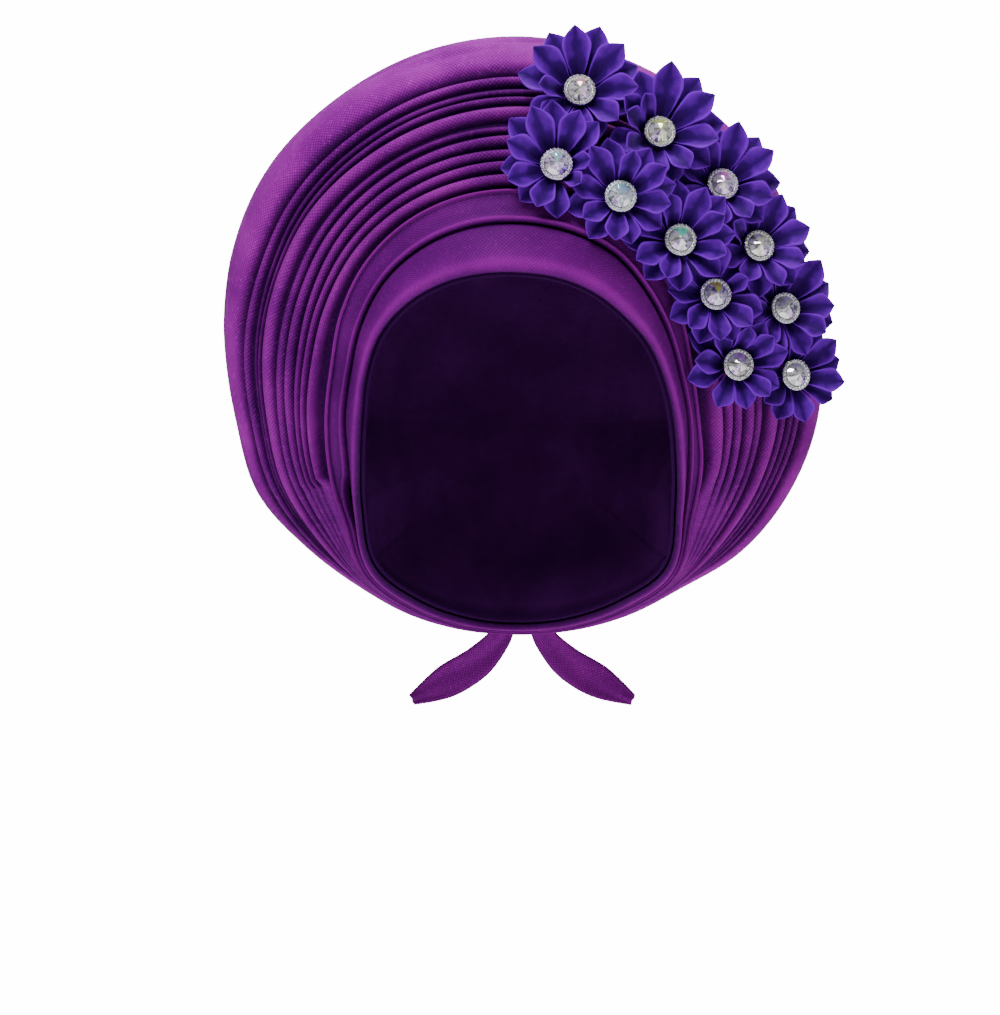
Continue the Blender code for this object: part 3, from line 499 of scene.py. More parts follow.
# Painted light across the forehead band: painted shade at both edges and along the flat, and a painted
# highlight on the swell above the front edge.
BAND_PAINTED_LIGHT = (
    # step, tone
    (0.00, -0.90),
    (0.10, -0.45),
    (0.22, 0.20),
    (0.34, 0.62),
    (0.46, 0.15),
    (0.70, -0.06),
    (0.88, -0.10),
    (0.94, -0.60),
    (1.00, -1.00),
)


def seam_normals(seams):
    """Direction that the cloth edges stand in at each seam, shared by the strips that meet there."""
    face, band, root, rim, _ = seams
    strips = [outward(face, band), outward(band, root), outward(root, rim)]
    return (strips[0], (strips[0] + strips[1]).normalized(),
            (strips[1] + strips[2]).normalized(), strips[2])


def between_seams(angle, ends, normals, along, height):
    """A point at a share of the way between two seams, raised over the line between them."""
    start, end = ends
    way = (end - start).normalized() * CLOTH_GAP
    point = (start + way).lerp(end - way, along)
    point += normals[0].lerp(normals[1], along).normalized() * height
    return place(angle, point.x, point.y)


def band_point(angle, row):
    seams = hoop(angle)
    face, band, _, _, _ = seams
    fullness = min(1.0, BAND_FULLNESS * (band - face).length / BAND_WIDTH)
    along, rise, behind = smooth_row(BAND_SECTION, row / BAND_STEPS)
    swing = 1 + BAND_SWING * math.sin(math.radians(angle) * 7 + 1.0)
    height = BAND_RISE * fullness * rise * swing - BAND_WALL * behind * WALL_TUCK
    return between_seams(angle, (face, band), seam_normals(seams)[0:2], along, height)


forehead_band = cloth_ring("forehead_band_cloth", BAND_STEPS, CLOTH_WALL, band_point,
                           painted_light_across(BAND_PAINTED_LIGHT, BAND_STEPS))
band_cloth = cloth_material("smooth_purple_cloth", BAND_DYE_AND_PAINTED_SHADE, dot_pitch=0.0016, bump=0.00010,
                            roughness=0.55, sparkle=0.12, texture=0.26, patchy=0.5)
finish_piece(forehead_band, "forehead_band", band_cloth)


# The inner band
# A second strip lies outside the first. Its inner edge is a thin rolled ridge with a painted
# highlight, over a seam darkened with painted shade, its face is flat, and its outer edge stands
# up as a thin selvage lightened with a painted highlight.
INNER_RISE = 0.0026
INNER_STEPS = 50
INNER_SECTION = (
    # step, along, rise, behind as a share of the band's wall
    (0.00, 0.050, 0.00, 0.90),
    (0.08, 0.020, 0.20, 0.20),
    (0.16, 0.050, 0.85, 0.00),
    (0.24, 0.120, 1.05, 0.00),
    (0.32, 0.190, 0.60, 0.00),
    (0.42, 0.300, 0.45, 0.00),
    (0.60, 0.550, 0.62, 0.00),
    (0.78, 0.800, 0.55, 0.00),
    (0.85, 0.880, 0.58, 0.00),
    (0.90, 0.925, 1.25, 0.00),
    (0.95, 0.960, 1.10, 0.00),
    (1.00, 0.980, 0.00, 0.90),
)
# Painted light across the inner band: painted shade at both edges, painted highlights on the inner
# ridge and the selvage.
INNER_PAINTED_LIGHT = (
    # step, tone
    (0.00, -1.00),
    (0.08, -0.60),
    (0.16, 0.30),
    (0.22, 0.45),
    (0.30, 0.06),
    (0.42, -0.08),
    (0.70, -0.04),
    (0.84, -0.12),
    (0.88, 0.60),
    (0.92, 1.00),
    (0.96, -0.30),
    (1.00, -1.00),
)
SLIT_ANGLE = -115.5
SLIT_LENGTH = 8.0
SLIT_WIDTH = 0.42


def inner_point(angle, row):
    seams = hoop(angle)
    _, band, root, _, _ = seams
    fullness = min(1.0, BAND_FULLNESS * (root - band).length / INNER_WIDTH)
    along, rise, behind = smooth_row(INNER_SECTION, row / INNER_STEPS)
    height = INNER_RISE * fullness * rise - BAND_WALL * behind * WALL_TUCK
    slit = SLIT_WIDTH * max(0.0, 1 - ((angle - SLIT_ANGLE) / SLIT_LENGTH) ** 2)
    along += slit * (1 - along)
    return between_seams(angle, (band, root), seam_normals(seams)[1:3], along, height)


inner_band = cloth_ring("inner_band_cloth", INNER_STEPS, CLOTH_WALL, inner_point,
                        painted_light_across(INNER_PAINTED_LIGHT, INNER_STEPS))
finish_piece(inner_band, "inner_band", band_cloth)


# The pleated fan
# The long strip of stiff cloth is laid in nine narrow pleats round the bands and sewn down
# fold by fold. The pleats stand as round ridges with deep grooves between them, darkened with
# painted shade, and their crests carry a painted highlight; one is broad with more painted
# highlight, two lie deeper with more painted shade, and at the cheeks they run together towards the
# nape.
PLEAT_RISE = 0.0046
GROOVE_DEPTH = 0.0012
FAN_BOW = 0.0030
PLEAT_SAMPLES = 11
PLEAT_WOBBLE = 0.007
PLEAT_LEAN = 0.9
PLEAT_ROUND = 2.4
PLEAT_FULL = 0.6
RISE_WOBBLE = 0.10
PLEATS = (
    # painted light, below 0 a painted shade and above 0 a painted highlight; start, end, rise at the
    # crown, at the left cheek and at the right cheek
    (0.10, 0.030, 0.116, 0.86, 0.070, 0.152, 0.92, 0.080, 0.172, 0.80),
    (-0.02, 0.144, 0.215, 0.70, 0.174, 0.238, 0.78, 0.188, 0.264, 0.72),
    (-0.08, 0.240, 0.322, 0.76, 0.262, 0.328, 0.72, 0.284, 0.366, 0.76),
    (-0.08, 0.352, 0.432, 0.80, 0.352, 0.440, 0.88, 0.386, 0.470, 0.80),
    (-0.18, 0.468, 0.522, 0.40, 0.470, 0.566, 0.80, 0.486, 0.556, 0.70),
    (0.16, 0.572, 0.686, 1.05, 0.600, 0.740, 1.05, 0.606, 0.716, 1.05),
    (-0.26, 0.716, 0.784, 0.52, 0.768, 0.802, 0.42, 0.734, 0.800, 0.74),
    (-0.42, 0.804, 0.862, 0.34, 0.824, 0.858, 0.32, 0.820, 0.888, 0.72),
    (-0.16, 0.890, 0.976, 0.74, 0.890, 0.975, 0.80, 0.910, 0.972, 0.66),
)
# Painted shade deep in the grooves, how narrowly it gathers there, and painted highlight on the crests.
GROOVE_PAINTED_SHADE = 1.0
GROOVE_EDGE = 1.35
CREST_PAINTED_HIGHLIGHT = 0.12
CHEEK_ANGLES = (18, 74)
# Each cheek is named by how far its columns in PLEATS lie past the crown's.
LEFT_CHEEK = 3
RIGHT_CHEEK = 6
GAPS = {
    # cheek: angles where its gap opens, is widest, ends and is closed, width as a share of the fan
    LEFT_CHEEK: (46, 98, 106.6, 108.8, 0.090),
    RIGHT_CHEEK: (56, 84, 102.0, 116.0, 0.045),
}
GAP_DEPTH = 0.0046
GAP_REACH = 0.5
GAP_SQUEEZE = 0.6
SMOOTH_PLEATS = 4
SMOOTH_LEVEL = 0.62
SMOOTH_ARCH = 0.2
SMOOTH_START = 0.01
FAN_DYE = ((0.030, 0.0, 0.062), (0.142, 0.0, 0.195), (0.34, 0.016, 0.36))


def fan_section(angle):
    """Shares, heights and painted light across the fan at one angle, the same count at every angle.
    By the cheeks a gap opens beside the inner band, darkened with painted shade; below its end the
    first pleats lie smooth."""
    side = ease(*CHEEK_ANGLES, abs(angle))
    cheek = LEFT_CHEEK if angle < 0 else RIGHT_CHEEK
    opens, wide, ends, closed, width = GAPS[cheek]
    smooth = ease(ends, closed, abs(angle))
    gap = ease(opens, wide, abs(angle)) * (1 - smooth)
    groove = -GROOVE_DEPTH / PLEAT_RISE
    deep = groove - gap * GAP_DEPTH / PLEAT_RISE
    section = [(0.0, groove, -GROOVE_PAINTED_SHADE * (1 - smooth))]
    turn = math.radians(angle)
    for number, (pleat_painted_light, *row) in enumerate(PLEATS):
        start, end, rise = (row[column] + (row[column + cheek] - row[column]) * side
                            for column in range(3))
        sway = PLEAT_WOBBLE * math.sin(turn * 3 + number * 1.9) * math.sin(turn * 2 + number)
        pushed = width * gap * (1 - min(start / GAP_REACH, 1.0))
        start += sway * (1 - gap * (number == 0)) + pushed
        end += sway + pushed * GAP_SQUEEZE
        rise *= 1 + RISE_WOBBLE * math.sin(turn * 4 + number * 2.3)
        flat = smooth if number < SMOOTH_PLEATS else 0.0
        if number == 0:
            start += (SMOOTH_START - start) * flat
        for sample in range(PLEAT_SAMPLES):
            share = (1 - math.cos(math.pi * sample / (PLEAT_SAMPLES - 1))) / 2
            lean = share ** PLEAT_LEAN
            arch = (1 - abs(2 * lean - 1) ** PLEAT_ROUND) ** PLEAT_FULL
            low = deep if number == 0 and share < 0.5 else groove
            level = rise * arch + (1 - arch) * low
            level += (SMOOTH_LEVEL - level) * flat * (1 - SMOOTH_ARCH + SMOOTH_ARCH * arch)
            # Each pleat's own painted light, a painted highlight on its crest and painted shade deep in
            # its grooves; the groove shade is gone where the pleats lie smooth.
            tone = pleat_painted_light + CREST_PAINTED_HIGHLIGHT * arch - GROOVE_PAINTED_SHADE * (1 - arch) ** GROOVE_EDGE * (1 - flat)
            section.append((min(max(start + (end - start) * share, 0.0), 1.0), level, tone))
    section.append((1.0, groove, -GROOVE_PAINTED_SHADE))
    return section


crown_root, crown_rim = hoop(0)[2:4]
crown_width = (crown_rim - crown_root).length
FAN_ROWS = len(PLEATS) * PLEAT_SAMPLES + 1
fan_sections = {}


# Painted shade and highlight of the fan at one place.
def fan_painted_light(angle, row):
    return fan_sections[angle][row][2]


def fan_point(angle, row):
    if angle not in fan_sections:
        fan_sections[angle] = fan_section(angle)
    along, level, _ = fan_sections[angle][row]
    seams = hoop(angle)
    _, _, root, rim, _ = seams
    fullness = min(1.0, (rim - root).length / crown_width)
    height = PLEAT_RISE * fullness * level + FAN_BOW * fullness * 4 * along * (1 - along)
    return between_seams(angle, (root, rim), seam_normals(seams)[2:4], along, height)


fan_strips = [min(row // PLEAT_SAMPLES, len(PLEATS) - 1) * PLEAT_SAMPLES + PLEAT_SAMPLES // 2
              for row in range(FAN_ROWS)]
pleated_fan = cloth_ring("pleated_fan_cloth", FAN_ROWS, CLOTH_WALL, fan_point, fan_painted_light, fan_strips)
fan_cloth = cloth_material("dotted_purple_cloth", FAN_DYE, dot_pitch=0.0018, bump=0.00020,
                           roughness=0.52, sparkle=0.20)
finish_piece(pleated_fan, "pleated_fan", fan_cloth)


# The outer rim
# The strip's last fold is a broad soft roll, stiffened by its own layers. It turns over the
# outline and its edge is tucked behind, where the back of the wrap is sewn to it.
RIM_RISE = 0.0062
RIM_BACK = 0.014
RIM_TUCK = 0.0030
RIM_FULLNESS = 2.0
RIM_STEPS = 44
RIM_SECTION = (
    # step, along, rise, back, tuck
    (0.00, 0.00, -0.35, 0.00, 0.00),
    (0.07, 0.00, 0.10, 0.00, 0.00),
    (0.16, 0.08, 0.66, 0.00, 0.00),
    (0.30, 0.27, 1.00, 0.00, 0.00),
    (0.45, 0.52, 0.98, 0.00, 0.00),
    (0.62, 0.80, 0.60, 0.00, 0.00),
    (0.78, 1.00, 0.08, 0.12, 0.00),
    (0.90, 1.01, 0.00, 0.58, 0.45),
    (1.00, 1.00, 0.00, 0.98, 1.00),
)
# Painted light across the rim: painted shade under its inner edge, where it lies over the first pleat,
# and a faint painted highlight on its roll.
RIM_PAINTED_LIGHT = (
    # step, tone
    (0.00, -1.00),
    (0.07, -0.80),
    (0.15, -0.10),
    (0.26, 0.08),
    (0.60, 0.04),
    (1.00, 0.00),
)
# The same purple cloth as the fan, its colours kept lighter as painted light on the rim's roll; the
# back takes them too.
RIM_DYE_AND_PAINTED_LIGHT = ((0.040, 0.0, 0.070), (0.205, 0.002, 0.250), (0.46, 0.028, 0.48))
CREASES = (
    # angle, along, length in degrees, width, depth as a share of RIM_RISE
    (-11, 0.40, 15, 0.12, 0.24),
    (-1, 0.60, 10, 0.12, 0.22),
    (-20, 0.70, 12, 0.14, 0.14),
    (-34, 0.55, 22, 0.22, 0.05),
    (-62, 0.48, 20, 0.22, 0.05),
)


def rim_edge(angle):
    """The rim's seam and outline at one angle, and how full its roll is there."""
    _, _, _, seam, outline = hoop(angle)
    return seam, outline, min(1.0, RIM_FULLNESS * smooth_value(HOOPS, 4, angle, 360))


def rim_point(angle, row):
    seam, outline, full = rim_edge(angle)
    along, rise, back, tuck = smooth_row(RIM_SECTION, row / RIM_STEPS)
    for middle, where, length, width, depth in CREASES:
        off = ((angle - middle) / length) ** 2 + ((along - where) / width) ** 2
        rise -= depth * math.exp(-off * 3)
    near = seam + (outline - seam).normalized() * CLOTH_GAP
    point = near.lerp(outline, along) + outward(seam, outline) * (RIM_RISE * rise * full)
    point += Vector((-RIM_TUCK * tuck, RIM_BACK * back)) * full
    return place(angle, point.x, point.y)


outer_rim = cloth_ring("outer_rim_cloth", RIM_STEPS, CLOTH_WALL, rim_point,
                       painted_light_across(RIM_PAINTED_LIGHT, RIM_STEPS))
rim_cloth = cloth_material("rim_purple_cloth", RIM_DYE_AND_PAINTED_LIGHT, dot_pitch=0.0017, bump=0.00016,
                           roughness=0.55, sparkle=0.20)
finish_piece(outer_rim, "outer_rim", rim_cloth)


# The gathered back
# Behind the rim one piece of the same cloth closes the wrap. It bulges over the back of the
# head and is drawn together in soft gathers at the nape, where it is tied.
KNOT_RISE = 0.016
KNOT_BACK = 0.008
KNOT_HOLE = 0.007
KNOT_TUCK = 0.0045
KNOT_DRAW = 0.0025
TUCK_START = 0.86
WRAP_BULGE = 0.045
WRAP_STRAIGHT = 0.62
WRAP_SPREAD = 0.10
WRAP_ARRIVAL = 0.42
GATHER_RISE = 0.0070
GATHER_COUNT = 12
GATHER_EASE = 1.5
FINE_GATHERS = (
    # count round the knot, rise, phase, share where strongest
    (31, 0.0024, 0.4, 0.75),
    (47, 0.0014, 1.9, 0.85),
)
FINE_SPREAD = 0.28
FINE_BEND = 0.35
# Painted shade in the valleys of the broad and the fine gathers.
GATHER_PAINTED_SHADE = 0.22
FINE_GATHER_PAINTED_SHADE = 0.26
BACK_STEPS = 60


def gathers(angle, row):
    """Height and painted shade of the gathers at one place; the fine ones are strongest near the knot.
    """
    share = row / BACK_STEPS
    round_turn = math.radians(angle)
    swell = math.sin(math.pi * share) ** GATHER_EASE
    fold = 0.5 - 0.5 * math.cos(round_turn * GATHER_COUNT)
    rise = GATHER_RISE * fold * swell
    tone = -GATHER_PAINTED_SHADE * (1 - fold) ** 2 * swell
    for count, height, phase, peak in FINE_GATHERS:
        strength = math.exp(-((share - peak) / FINE_SPREAD) ** 2) * swell ** 0.5
        bend = FINE_BEND * math.sin(round_turn * 3 + phase * 5)
        wave = 0.5 + 0.5 * math.sin(round_turn * count + phase + bend)
        rise += height * strength * (wave - 0.5)
        tone -= FINE_GATHER_PAINTED_SHADE * (1 - wave) ** 2 * strength
    return rise, tone


# Painted shade of the gathers.
def back_painted_shade(angle, row):
    return gathers(angle, row)[1]


def back_point(angle, row):
    """A point of the gathered back on the line from the rim at one angle to the knot."""
    share = row / BACK_STEPS
    _, outline, full = rim_edge(angle)
    edge = outline + Vector((-RIM_TUCK, RIM_BACK)) * full
    start = place(angle, edge.x, edge.y + CLOTH_GAP)
    low = hoop(180)[4]
    knot = Vector((0.0, low.y + KNOT_BACK, KNOT_RISE - HUB_DROP - low.x))
    across = Vector((start.x - knot.x, 0.0, start.z - knot.z))
    reach = across.length
    across.normalize()
    end = knot + across * KNOT_HOLE
    leave = start + Vector((0.0, WRAP_STRAIGHT * (end.y - start.y), 0.0))
    leave += across * min(WRAP_SPREAD * reach, RIM_TUCK / 2)
    bulge = Vector((0.0, WRAP_BULGE * reach / FAN_RADIUS, 0.0))
    arrive = end + across * (WRAP_ARRIVAL * reach) + bulge
    rest = 1 - share
    point = (start * rest ** 3 + leave * 3 * rest ** 2 * share
             + arrive * 3 * rest * share ** 2 + end * share ** 3)
    away = (point - HEAD_MIDDLE).normalized()
    size = min(1.0, reach / FAN_RADIUS)
    tucked = Vector((0.0, KNOT_TUCK, 0.0)) - across * KNOT_DRAW
    return point + away * gathers(angle, row)[0] * size + tucked * ease(TUCK_START, 1.0, share)


back_wrap = cloth_ring("gathered_back_cloth", BACK_STEPS, CLOTH_WALL, back_point, back_painted_shade)
back_cloth = cloth_material("back_purple_cloth", RIM_DYE_AND_PAINTED_LIGHT, dot_pitch=0.0017, bump=0.00016,
                            roughness=0.55, sparkle=0.12, patchy=0.32)
finish_piece(back_wrap, "back_wrap", back_cloth)


# The tie at the nape
# The cloth's two ends are tied once over the gathers: a soft knot drawn in at its waist, and
# two short flat ends that hang and curl outwards below it.
KNOT_FOLDS = 9
KNOT_FOLD_DEPTH = 0.10
# Painted shade in the knot's creases.
KNOT_PAINTED_SHADE = 0.55
KNOT_WAIST = 0.20
WAIST_WIDTH = 0.30
KNOT_ENDS = 0.85
KNOT_CORNERS = 0.16
TAIL_WIDTH = 0.015
TAIL_LENGTH = 0.060
TAIL_WALL = 0.0012
TAIL_STEPS = 26
TAIL_ACROSS = 8
TAIL_CUP = 0.0012
TAIL_RIPPLE = 0.0004
TAIL_REACH = 0.02
TAIL_ROUTE = (
    # step, across, back, down, width
    (0.00, 0.00, 0.00, 0.11, 0.60),
    (0.12, 0.00, 0.00, 0.00, 0.60),
    (0.32, 0.05, 0.02, -0.12, 0.74),
    (0.54, 0.22, 0.00, -0.30, 1.00),
    (0.77, 0.46, -0.12, -0.44, 1.00),
    (1.00, 0.70, -0.30, -0.56, 0.35),
)


def make_knot():
    low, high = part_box("tie_knot")
    centre = (low + high) / 2
    half = (high - low) / 2
    bpy.ops.object.select_all(action="DESELECT")
    bpy.ops.mesh.primitive_uv_sphere_add(segments=72, ring_count=40, radius=1.0)
    knot = bpy.context.object
    knot.name = "tie_knot_cloth"
    painted_light_values = knot.data.attributes.new("painted_shade_and_light", "FLOAT", "POINT")
    for vertex in knot.data.vertices:
        across, back, up = vertex.co
        turn = math.atan2(up, back)
        waist = 1 - KNOT_WAIST * math.exp(-(across / WAIST_WIDTH) ** 2)
        crease = (0.5 + 0.5 * math.cos(turn * KNOT_FOLDS + across * 2.0)) ** 2
        folds = 1 - KNOT_FOLD_DEPTH * crease
        # Painted shade in the creases between the knot's folds.
        painted_light_values.data[vertex.index].value = -KNOT_PAINTED_SHADE * crease * (1 - 0.5 * abs(across))
        girth = waist * folds
        square = max(abs(back), abs(up)) / max(math.hypot(back, up), 0.0001)
        fill = 1 + KNOT_CORNERS * (1 - square)
        vertex.co = centre + Vector((half.x * math.copysign(abs(across) ** KNOT_ENDS, across),
                                     half.y * back * girth * fill, half.z * up * girth * fill))
    bpy.ops.object.shade_smooth()
    layer = knot.data.uv_layers[0].data
    for loop in knot.data.loops:
        along, around = layer[loop.index].uv
        layer[loop.index].uv = (along * math.tau * half.z, around * math.pi * half.x)
    return knot


def make_tail(name, node, side):
    """One end of the cloth, on its route down from the knot; side is -1 on the left, 1 right."""
    low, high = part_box(node)
    start_half = TAIL_WIDTH * TAIL_ROUTE[0][4] / 2
    start = Vector(((low.x if side > 0 else high.x) + side * start_half, high.y - TAIL_WALL, high.z))

    def tail_point(share, row):
        across, back, down, width = smooth_row(TAIL_ROUTE, share)
        later = smooth_row(TAIL_ROUTE, min(share + TAIL_REACH, 1.0))
        sooner = smooth_row(TAIL_ROUTE, max(share - TAIL_REACH, 0.0))
        run = Vector((side * (later[0] - sooner[0]), later[1] - sooner[1],
                      later[2] - sooner[2])).normalized()
        flat = run.cross(Vector((0.0, 1.0, 0.0))).normalized()
        thick = run.cross(flat).normalized()
        cross = 2 * row / TAIL_ACROSS - 1
        cup = TAIL_CUP * (cross * cross - 0.5) * math.sin(math.pi * share)
        ripple = TAIL_RIPPLE * math.sin(cross * 5 + share * 9)
        centre = start + Vector((side * across, back, down)) * TAIL_LENGTH
        return centre + flat * (cross * TAIL_WIDTH * width / 2) + thick * (cup + ripple)

    before = start + Vector((0.0, -1.0, 0.0))
    tail = cloth_grid(name, TAIL_STEPS, TAIL_ACROSS, tail_point, looks_from=before, ring=False)
    add_wall(tail, TAIL_WALL)
    return tail


knot = make_knot()
finish_piece(knot, "tie_knot", back_cloth)
TAILS = (
    # name, node, side
    ("tie_end_left", "tie_tail_left", -1),
    ("tie_end_right", "tie_tail_right", 1),
)
for name, node, side in TAILS:
    tail = make_tail(name, node, side)
    finish_piece(tail, node, back_cloth)


# The ribbon flowers
# Each flower is two rings of eight petals folded from short pieces of blue violet satin
# ribbon, creased to a point and glued round a small disc. The flowers are set close, so the
# petals of the ones nearer the face lie over those behind them.
FLOWER_RADIUS = 0.0249
UPWARD_GROWTH = 0.13
PETAL_WIDTH = 0.0116
PETAL_COUNT = 8
PETAL_ROOT = 0.0032
PETAL_CLEARANCE = 0.00032
RIBBON_WALL = 0.00035
HUB_RADIUS = 0.0068
HUB_HEIGHT = 0.0044
SETTING_HEIGHT = 0.0024
STEEPEST_PITCH = 72
PITCH_STEP = 4
ROOT_PITCH = 1
PETAL_FLAT = 0.12
PETAL_LEVEL = 0.36
PETAL_FIT = 0.88
PETAL_BEND = 30
STRAIGHT_AT = 0.6
PETAL_CUP = 0.0034
CUP_POWER = 1.5
ROOT_CUP = 0.1
DISC_GAP = 0.0002
CLEAR_ABOVE = 0.012
PETAL_NEAR = 1.4
DISC_NEAR = 1.6
PETAL_KEEL = 0.0007
PETAL_TWIST = 0.0016
PETAL_SHARES = (1.0, 0.94, 0.88, 0.80, 0.72, 0.64, 0.56, 0.48)
PETAL_ALONG = 12
PETAL_ACROSS = 8
PETAL_OUTLINE = (
    # along, width
    (0.00, 0.30),
    (0.20, 0.56),
    (0.42, 0.88),
    (0.60, 1.00),
    (0.73, 0.98),
    (0.83, 0.78),
    (0.92, 0.40),
    (1.00, 0.01),
)
PETAL_SPREAD = 4
PETAL_RINGS = (
    # turn in petals, radius, shortest, longest, height, pitch, least and most added to the pitch
    (0.5, FLOWER_RADIUS, 0.93, 1.03, 0.0008, 8, 0, 5),
    (0.0, 0.0242, 0.93, 1.04, 0.0027, 27, -4, 7),
)
FLOWERS = (
    # number, angle round the hub, tilt, turn, size, place in the order of gluing
    (1, 10.2, 14, -2, 1.04, 1),
    (2, 26.0, 16, 10, 1.08, 2),
    (3, 8.0, 8, -24, 0.98, 7),
    (4, 24.4, 10, 12, 0.95, 6),
    (5, 40.9, 18, 16, 1.00, 3),
    (6, 42.1, 12, 22, 0.98, 8),
    (7, 54.2, 20, 25, 0.98, 4),
    (8, 57.8, 14, 44, 0.95, 9),
    (9, 67.4, 22, 40, 0.98, 5),
    (10, 76.3, 16, 5, 0.92, 10),
    (11, 80.9, 24, 50, 0.92, 6),
)
SATIN_DYE = ((0.006, 0.0, 0.028), (0.034, 0.0, 0.138), (0.185, 0.0, 0.590))
SATIN_LEVELS = (0.18, 0.58, 0.84)
SATIN_THREADS = 240.0
# Painted light on the petals: lighter towards the tip, a painted highlight along the edges, painted
# shade down the middle fold; the patches vary at random.
PAINTED_LIGHT_TOWARDS_TIP = 0.50
EDGE_PAINTED_HIGHLIGHT = 0.45
SATIN_FOLD_PAINTED_SHADE = -0.18
PATCH_LIGHT = 0.35


def flower_frames():
    """Where each flower sits: under its brooch, with right, up and outward directions."""
    frames = {}
    for number, angle, tilt, turn, size, order in FLOWERS:
        turned = math.radians(angle)
        lean = math.radians(tilt)
        normal = Vector((math.sin(lean) * math.sin(turned), -math.cos(lean),
                         math.sin(lean) * math.cos(turned)))
        right = Vector((0.0, 0.0, 1.0)).cross(normal).normalized()
        low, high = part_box("setting_%02d" % number)
        centre = (low + high) / 2
        base = centre - normal * (HUB_HEIGHT + SETTING_HEIGHT / 2)
        frames[number] = {"base": base, "right": right, "up": normal.cross(right),
                          "normal": normal, "turn": turn, "size": size, "order": order}
    return frames


def petal_rows(seat, way, height, length, pitch, sway):
    """Points of one petal as rows from root to tip, each from its left edge to its right."""
    along = seat["right"] * math.sin(way) + seat["up"] * math.cos(way)
    side = seat["right"] * math.cos(way) - seat["up"] * math.sin(way)
    spot = seat["base"] + along * PETAL_ROOT + seat["normal"] * height
    rows = []
    for step in range(PETAL_ALONG + 1):
        share = step / PETAL_ALONG
        level = ease(PETAL_FLAT, PETAL_LEVEL, share)
        bent = pitch + PETAL_BEND * (STRAIGHT_AT - share)
        rise = math.radians(ROOT_PITCH + (bent - ROOT_PITCH) * level)
        run = along * math.cos(rise) + seat["normal"] * math.sin(rise)
        lift = seat["normal"] * math.cos(rise) - along * math.sin(rise)
        if step:
            spot = spot + run * (length / PETAL_ALONG)
        half = PETAL_WIDTH / 2 * seat["size"] * smooth_value(PETAL_OUTLINE, 1, share)
        reach = (spot - seat["base"]).dot(along)
        half = min(half, reach * math.tan(math.pi / PETAL_COUNT) * PETAL_FIT - RIBBON_WALL)
        row = []
        for column in range(PETAL_ACROSS + 1):
            cross = 2 * column / PETAL_ACROSS - 1
            hollow = ROOT_CUP + (1 - ROOT_CUP) * math.sin(math.pi * share ** 0.8)
            cup = PETAL_CUP * abs(cross) ** CUP_POWER * hollow
            keel = -PETAL_KEEL * (1 - abs(cross)) ** CUP_POWER * (1 - share)
            curl = sway * PETAL_TWIST * cross * share
            row.append(spot + side * (half * cross)
                       + lift * ((cup + keel + curl) * half / (PETAL_WIDTH / 2)))
        rows.append(row)
    return rows


def rows_tree(rows, lift):
    """A search tree of a petal as a thin closed body, its two faces a clearance apart."""
    count = len(rows[0])
    flat = [point + lift for row in rows for point in row]
    flat += [point - lift for row in rows for point in row]
    half = len(rows) * count
    faces = []
    for level in (0, half):
        for row in range(len(rows) - 1):
            for column in range(count - 1):
                first = level + row * count + column
                faces.append((first, first + 1, first + count + 1, first + count))
    for row in range(len(rows) - 1):
        for column in (0, count - 1):
            first = row * count + column
            faces.append((first, first + count, first + count + half, first + half))
    return BVHTree.FromPolygons(flat, faces)


def place_petal(seat, way, height, length, lowest, sway, placed):
    """Raise a crowded petal, or shorten it, until it clears the cloth and all petals before it."""
    for share in PETAL_SHARES:
        pitch = lowest
        while pitch <= max(lowest, STEEPEST_PITCH):
            rows = petal_rows(seat, way, height, length * share, pitch, sway)
            tree = rows_tree(rows, seat["normal"] * PETAL_CLEARANCE)
            spot = rows[len(rows) // 2][PETAL_ACROSS // 2]
            if not any((spot - middle).length < reach and tree.overlap(other)
                       for middle, reach, other in placed):
                placed.append((spot, FLOWER_RADIUS * PETAL_NEAR, tree))
                return rows
            pitch += PITCH_STEP
    return None


def disc_tree(seat, radius, bottom, top):
    """A search tree of the round room that a flower's centre and brooch take."""
    sides = 24
    points = []
    for height in (bottom, top):
        for side in range(sides):
            way = math.tau * side / sides
            points.append(seat["base"] + (seat["right"] * math.cos(way)
                          + seat["up"] * math.sin(way)) * radius + seat["normal"] * height)
    faces = [tuple(range(sides)), tuple(range(sides, 2 * sides))]
    faces += [(side, (side + 1) % sides, sides + (side + 1) % sides, sides + side)
              for side in range(sides)]
    return BVHTree.FromPolygons(points, faces)


def object_tree(piece):
    return BVHTree.FromPolygons([vertex.co for vertex in piece.data.vertices],
                                [tuple(face.vertices) for face in piece.data.polygons])


def add_object(name, data):
    piece = bpy.data.objects.new(name, data)
    bpy.context.scene.collection.objects.link(piece)
    return piece


def shape_object(name, shape):
    mesh = bpy.data.meshes.new(name)
    shape.to_mesh(mesh)
    shape.free()
    return add_object(name, mesh)


def flower_object(name, petals):
    """All petals of one flower in one mesh; U runs across a petal and V from root to tip."""
    shape = bmesh.new()
    layer = shape.loops.layers.uv.new("UVMap")
    for rows in petals:
        grid = [[shape.verts.new(point) for point in row] for row in rows]
        for row in range(len(grid) - 1):
            for column in range(len(grid[0]) - 1):
                face = shape.faces.new((grid[row][column], grid[row][column + 1],
                                        grid[row + 1][column + 1], grid[row + 1][column]))
                face.smooth = True
                corners = ((column, row), (column + 1, row), (column + 1, row + 1), (column, row + 1))
                for loop, (across, along) in zip(face.loops, corners):
                    loop[layer].uv = (across / PETAL_ACROSS, along / PETAL_ALONG)
    return shape_object(name, shape)


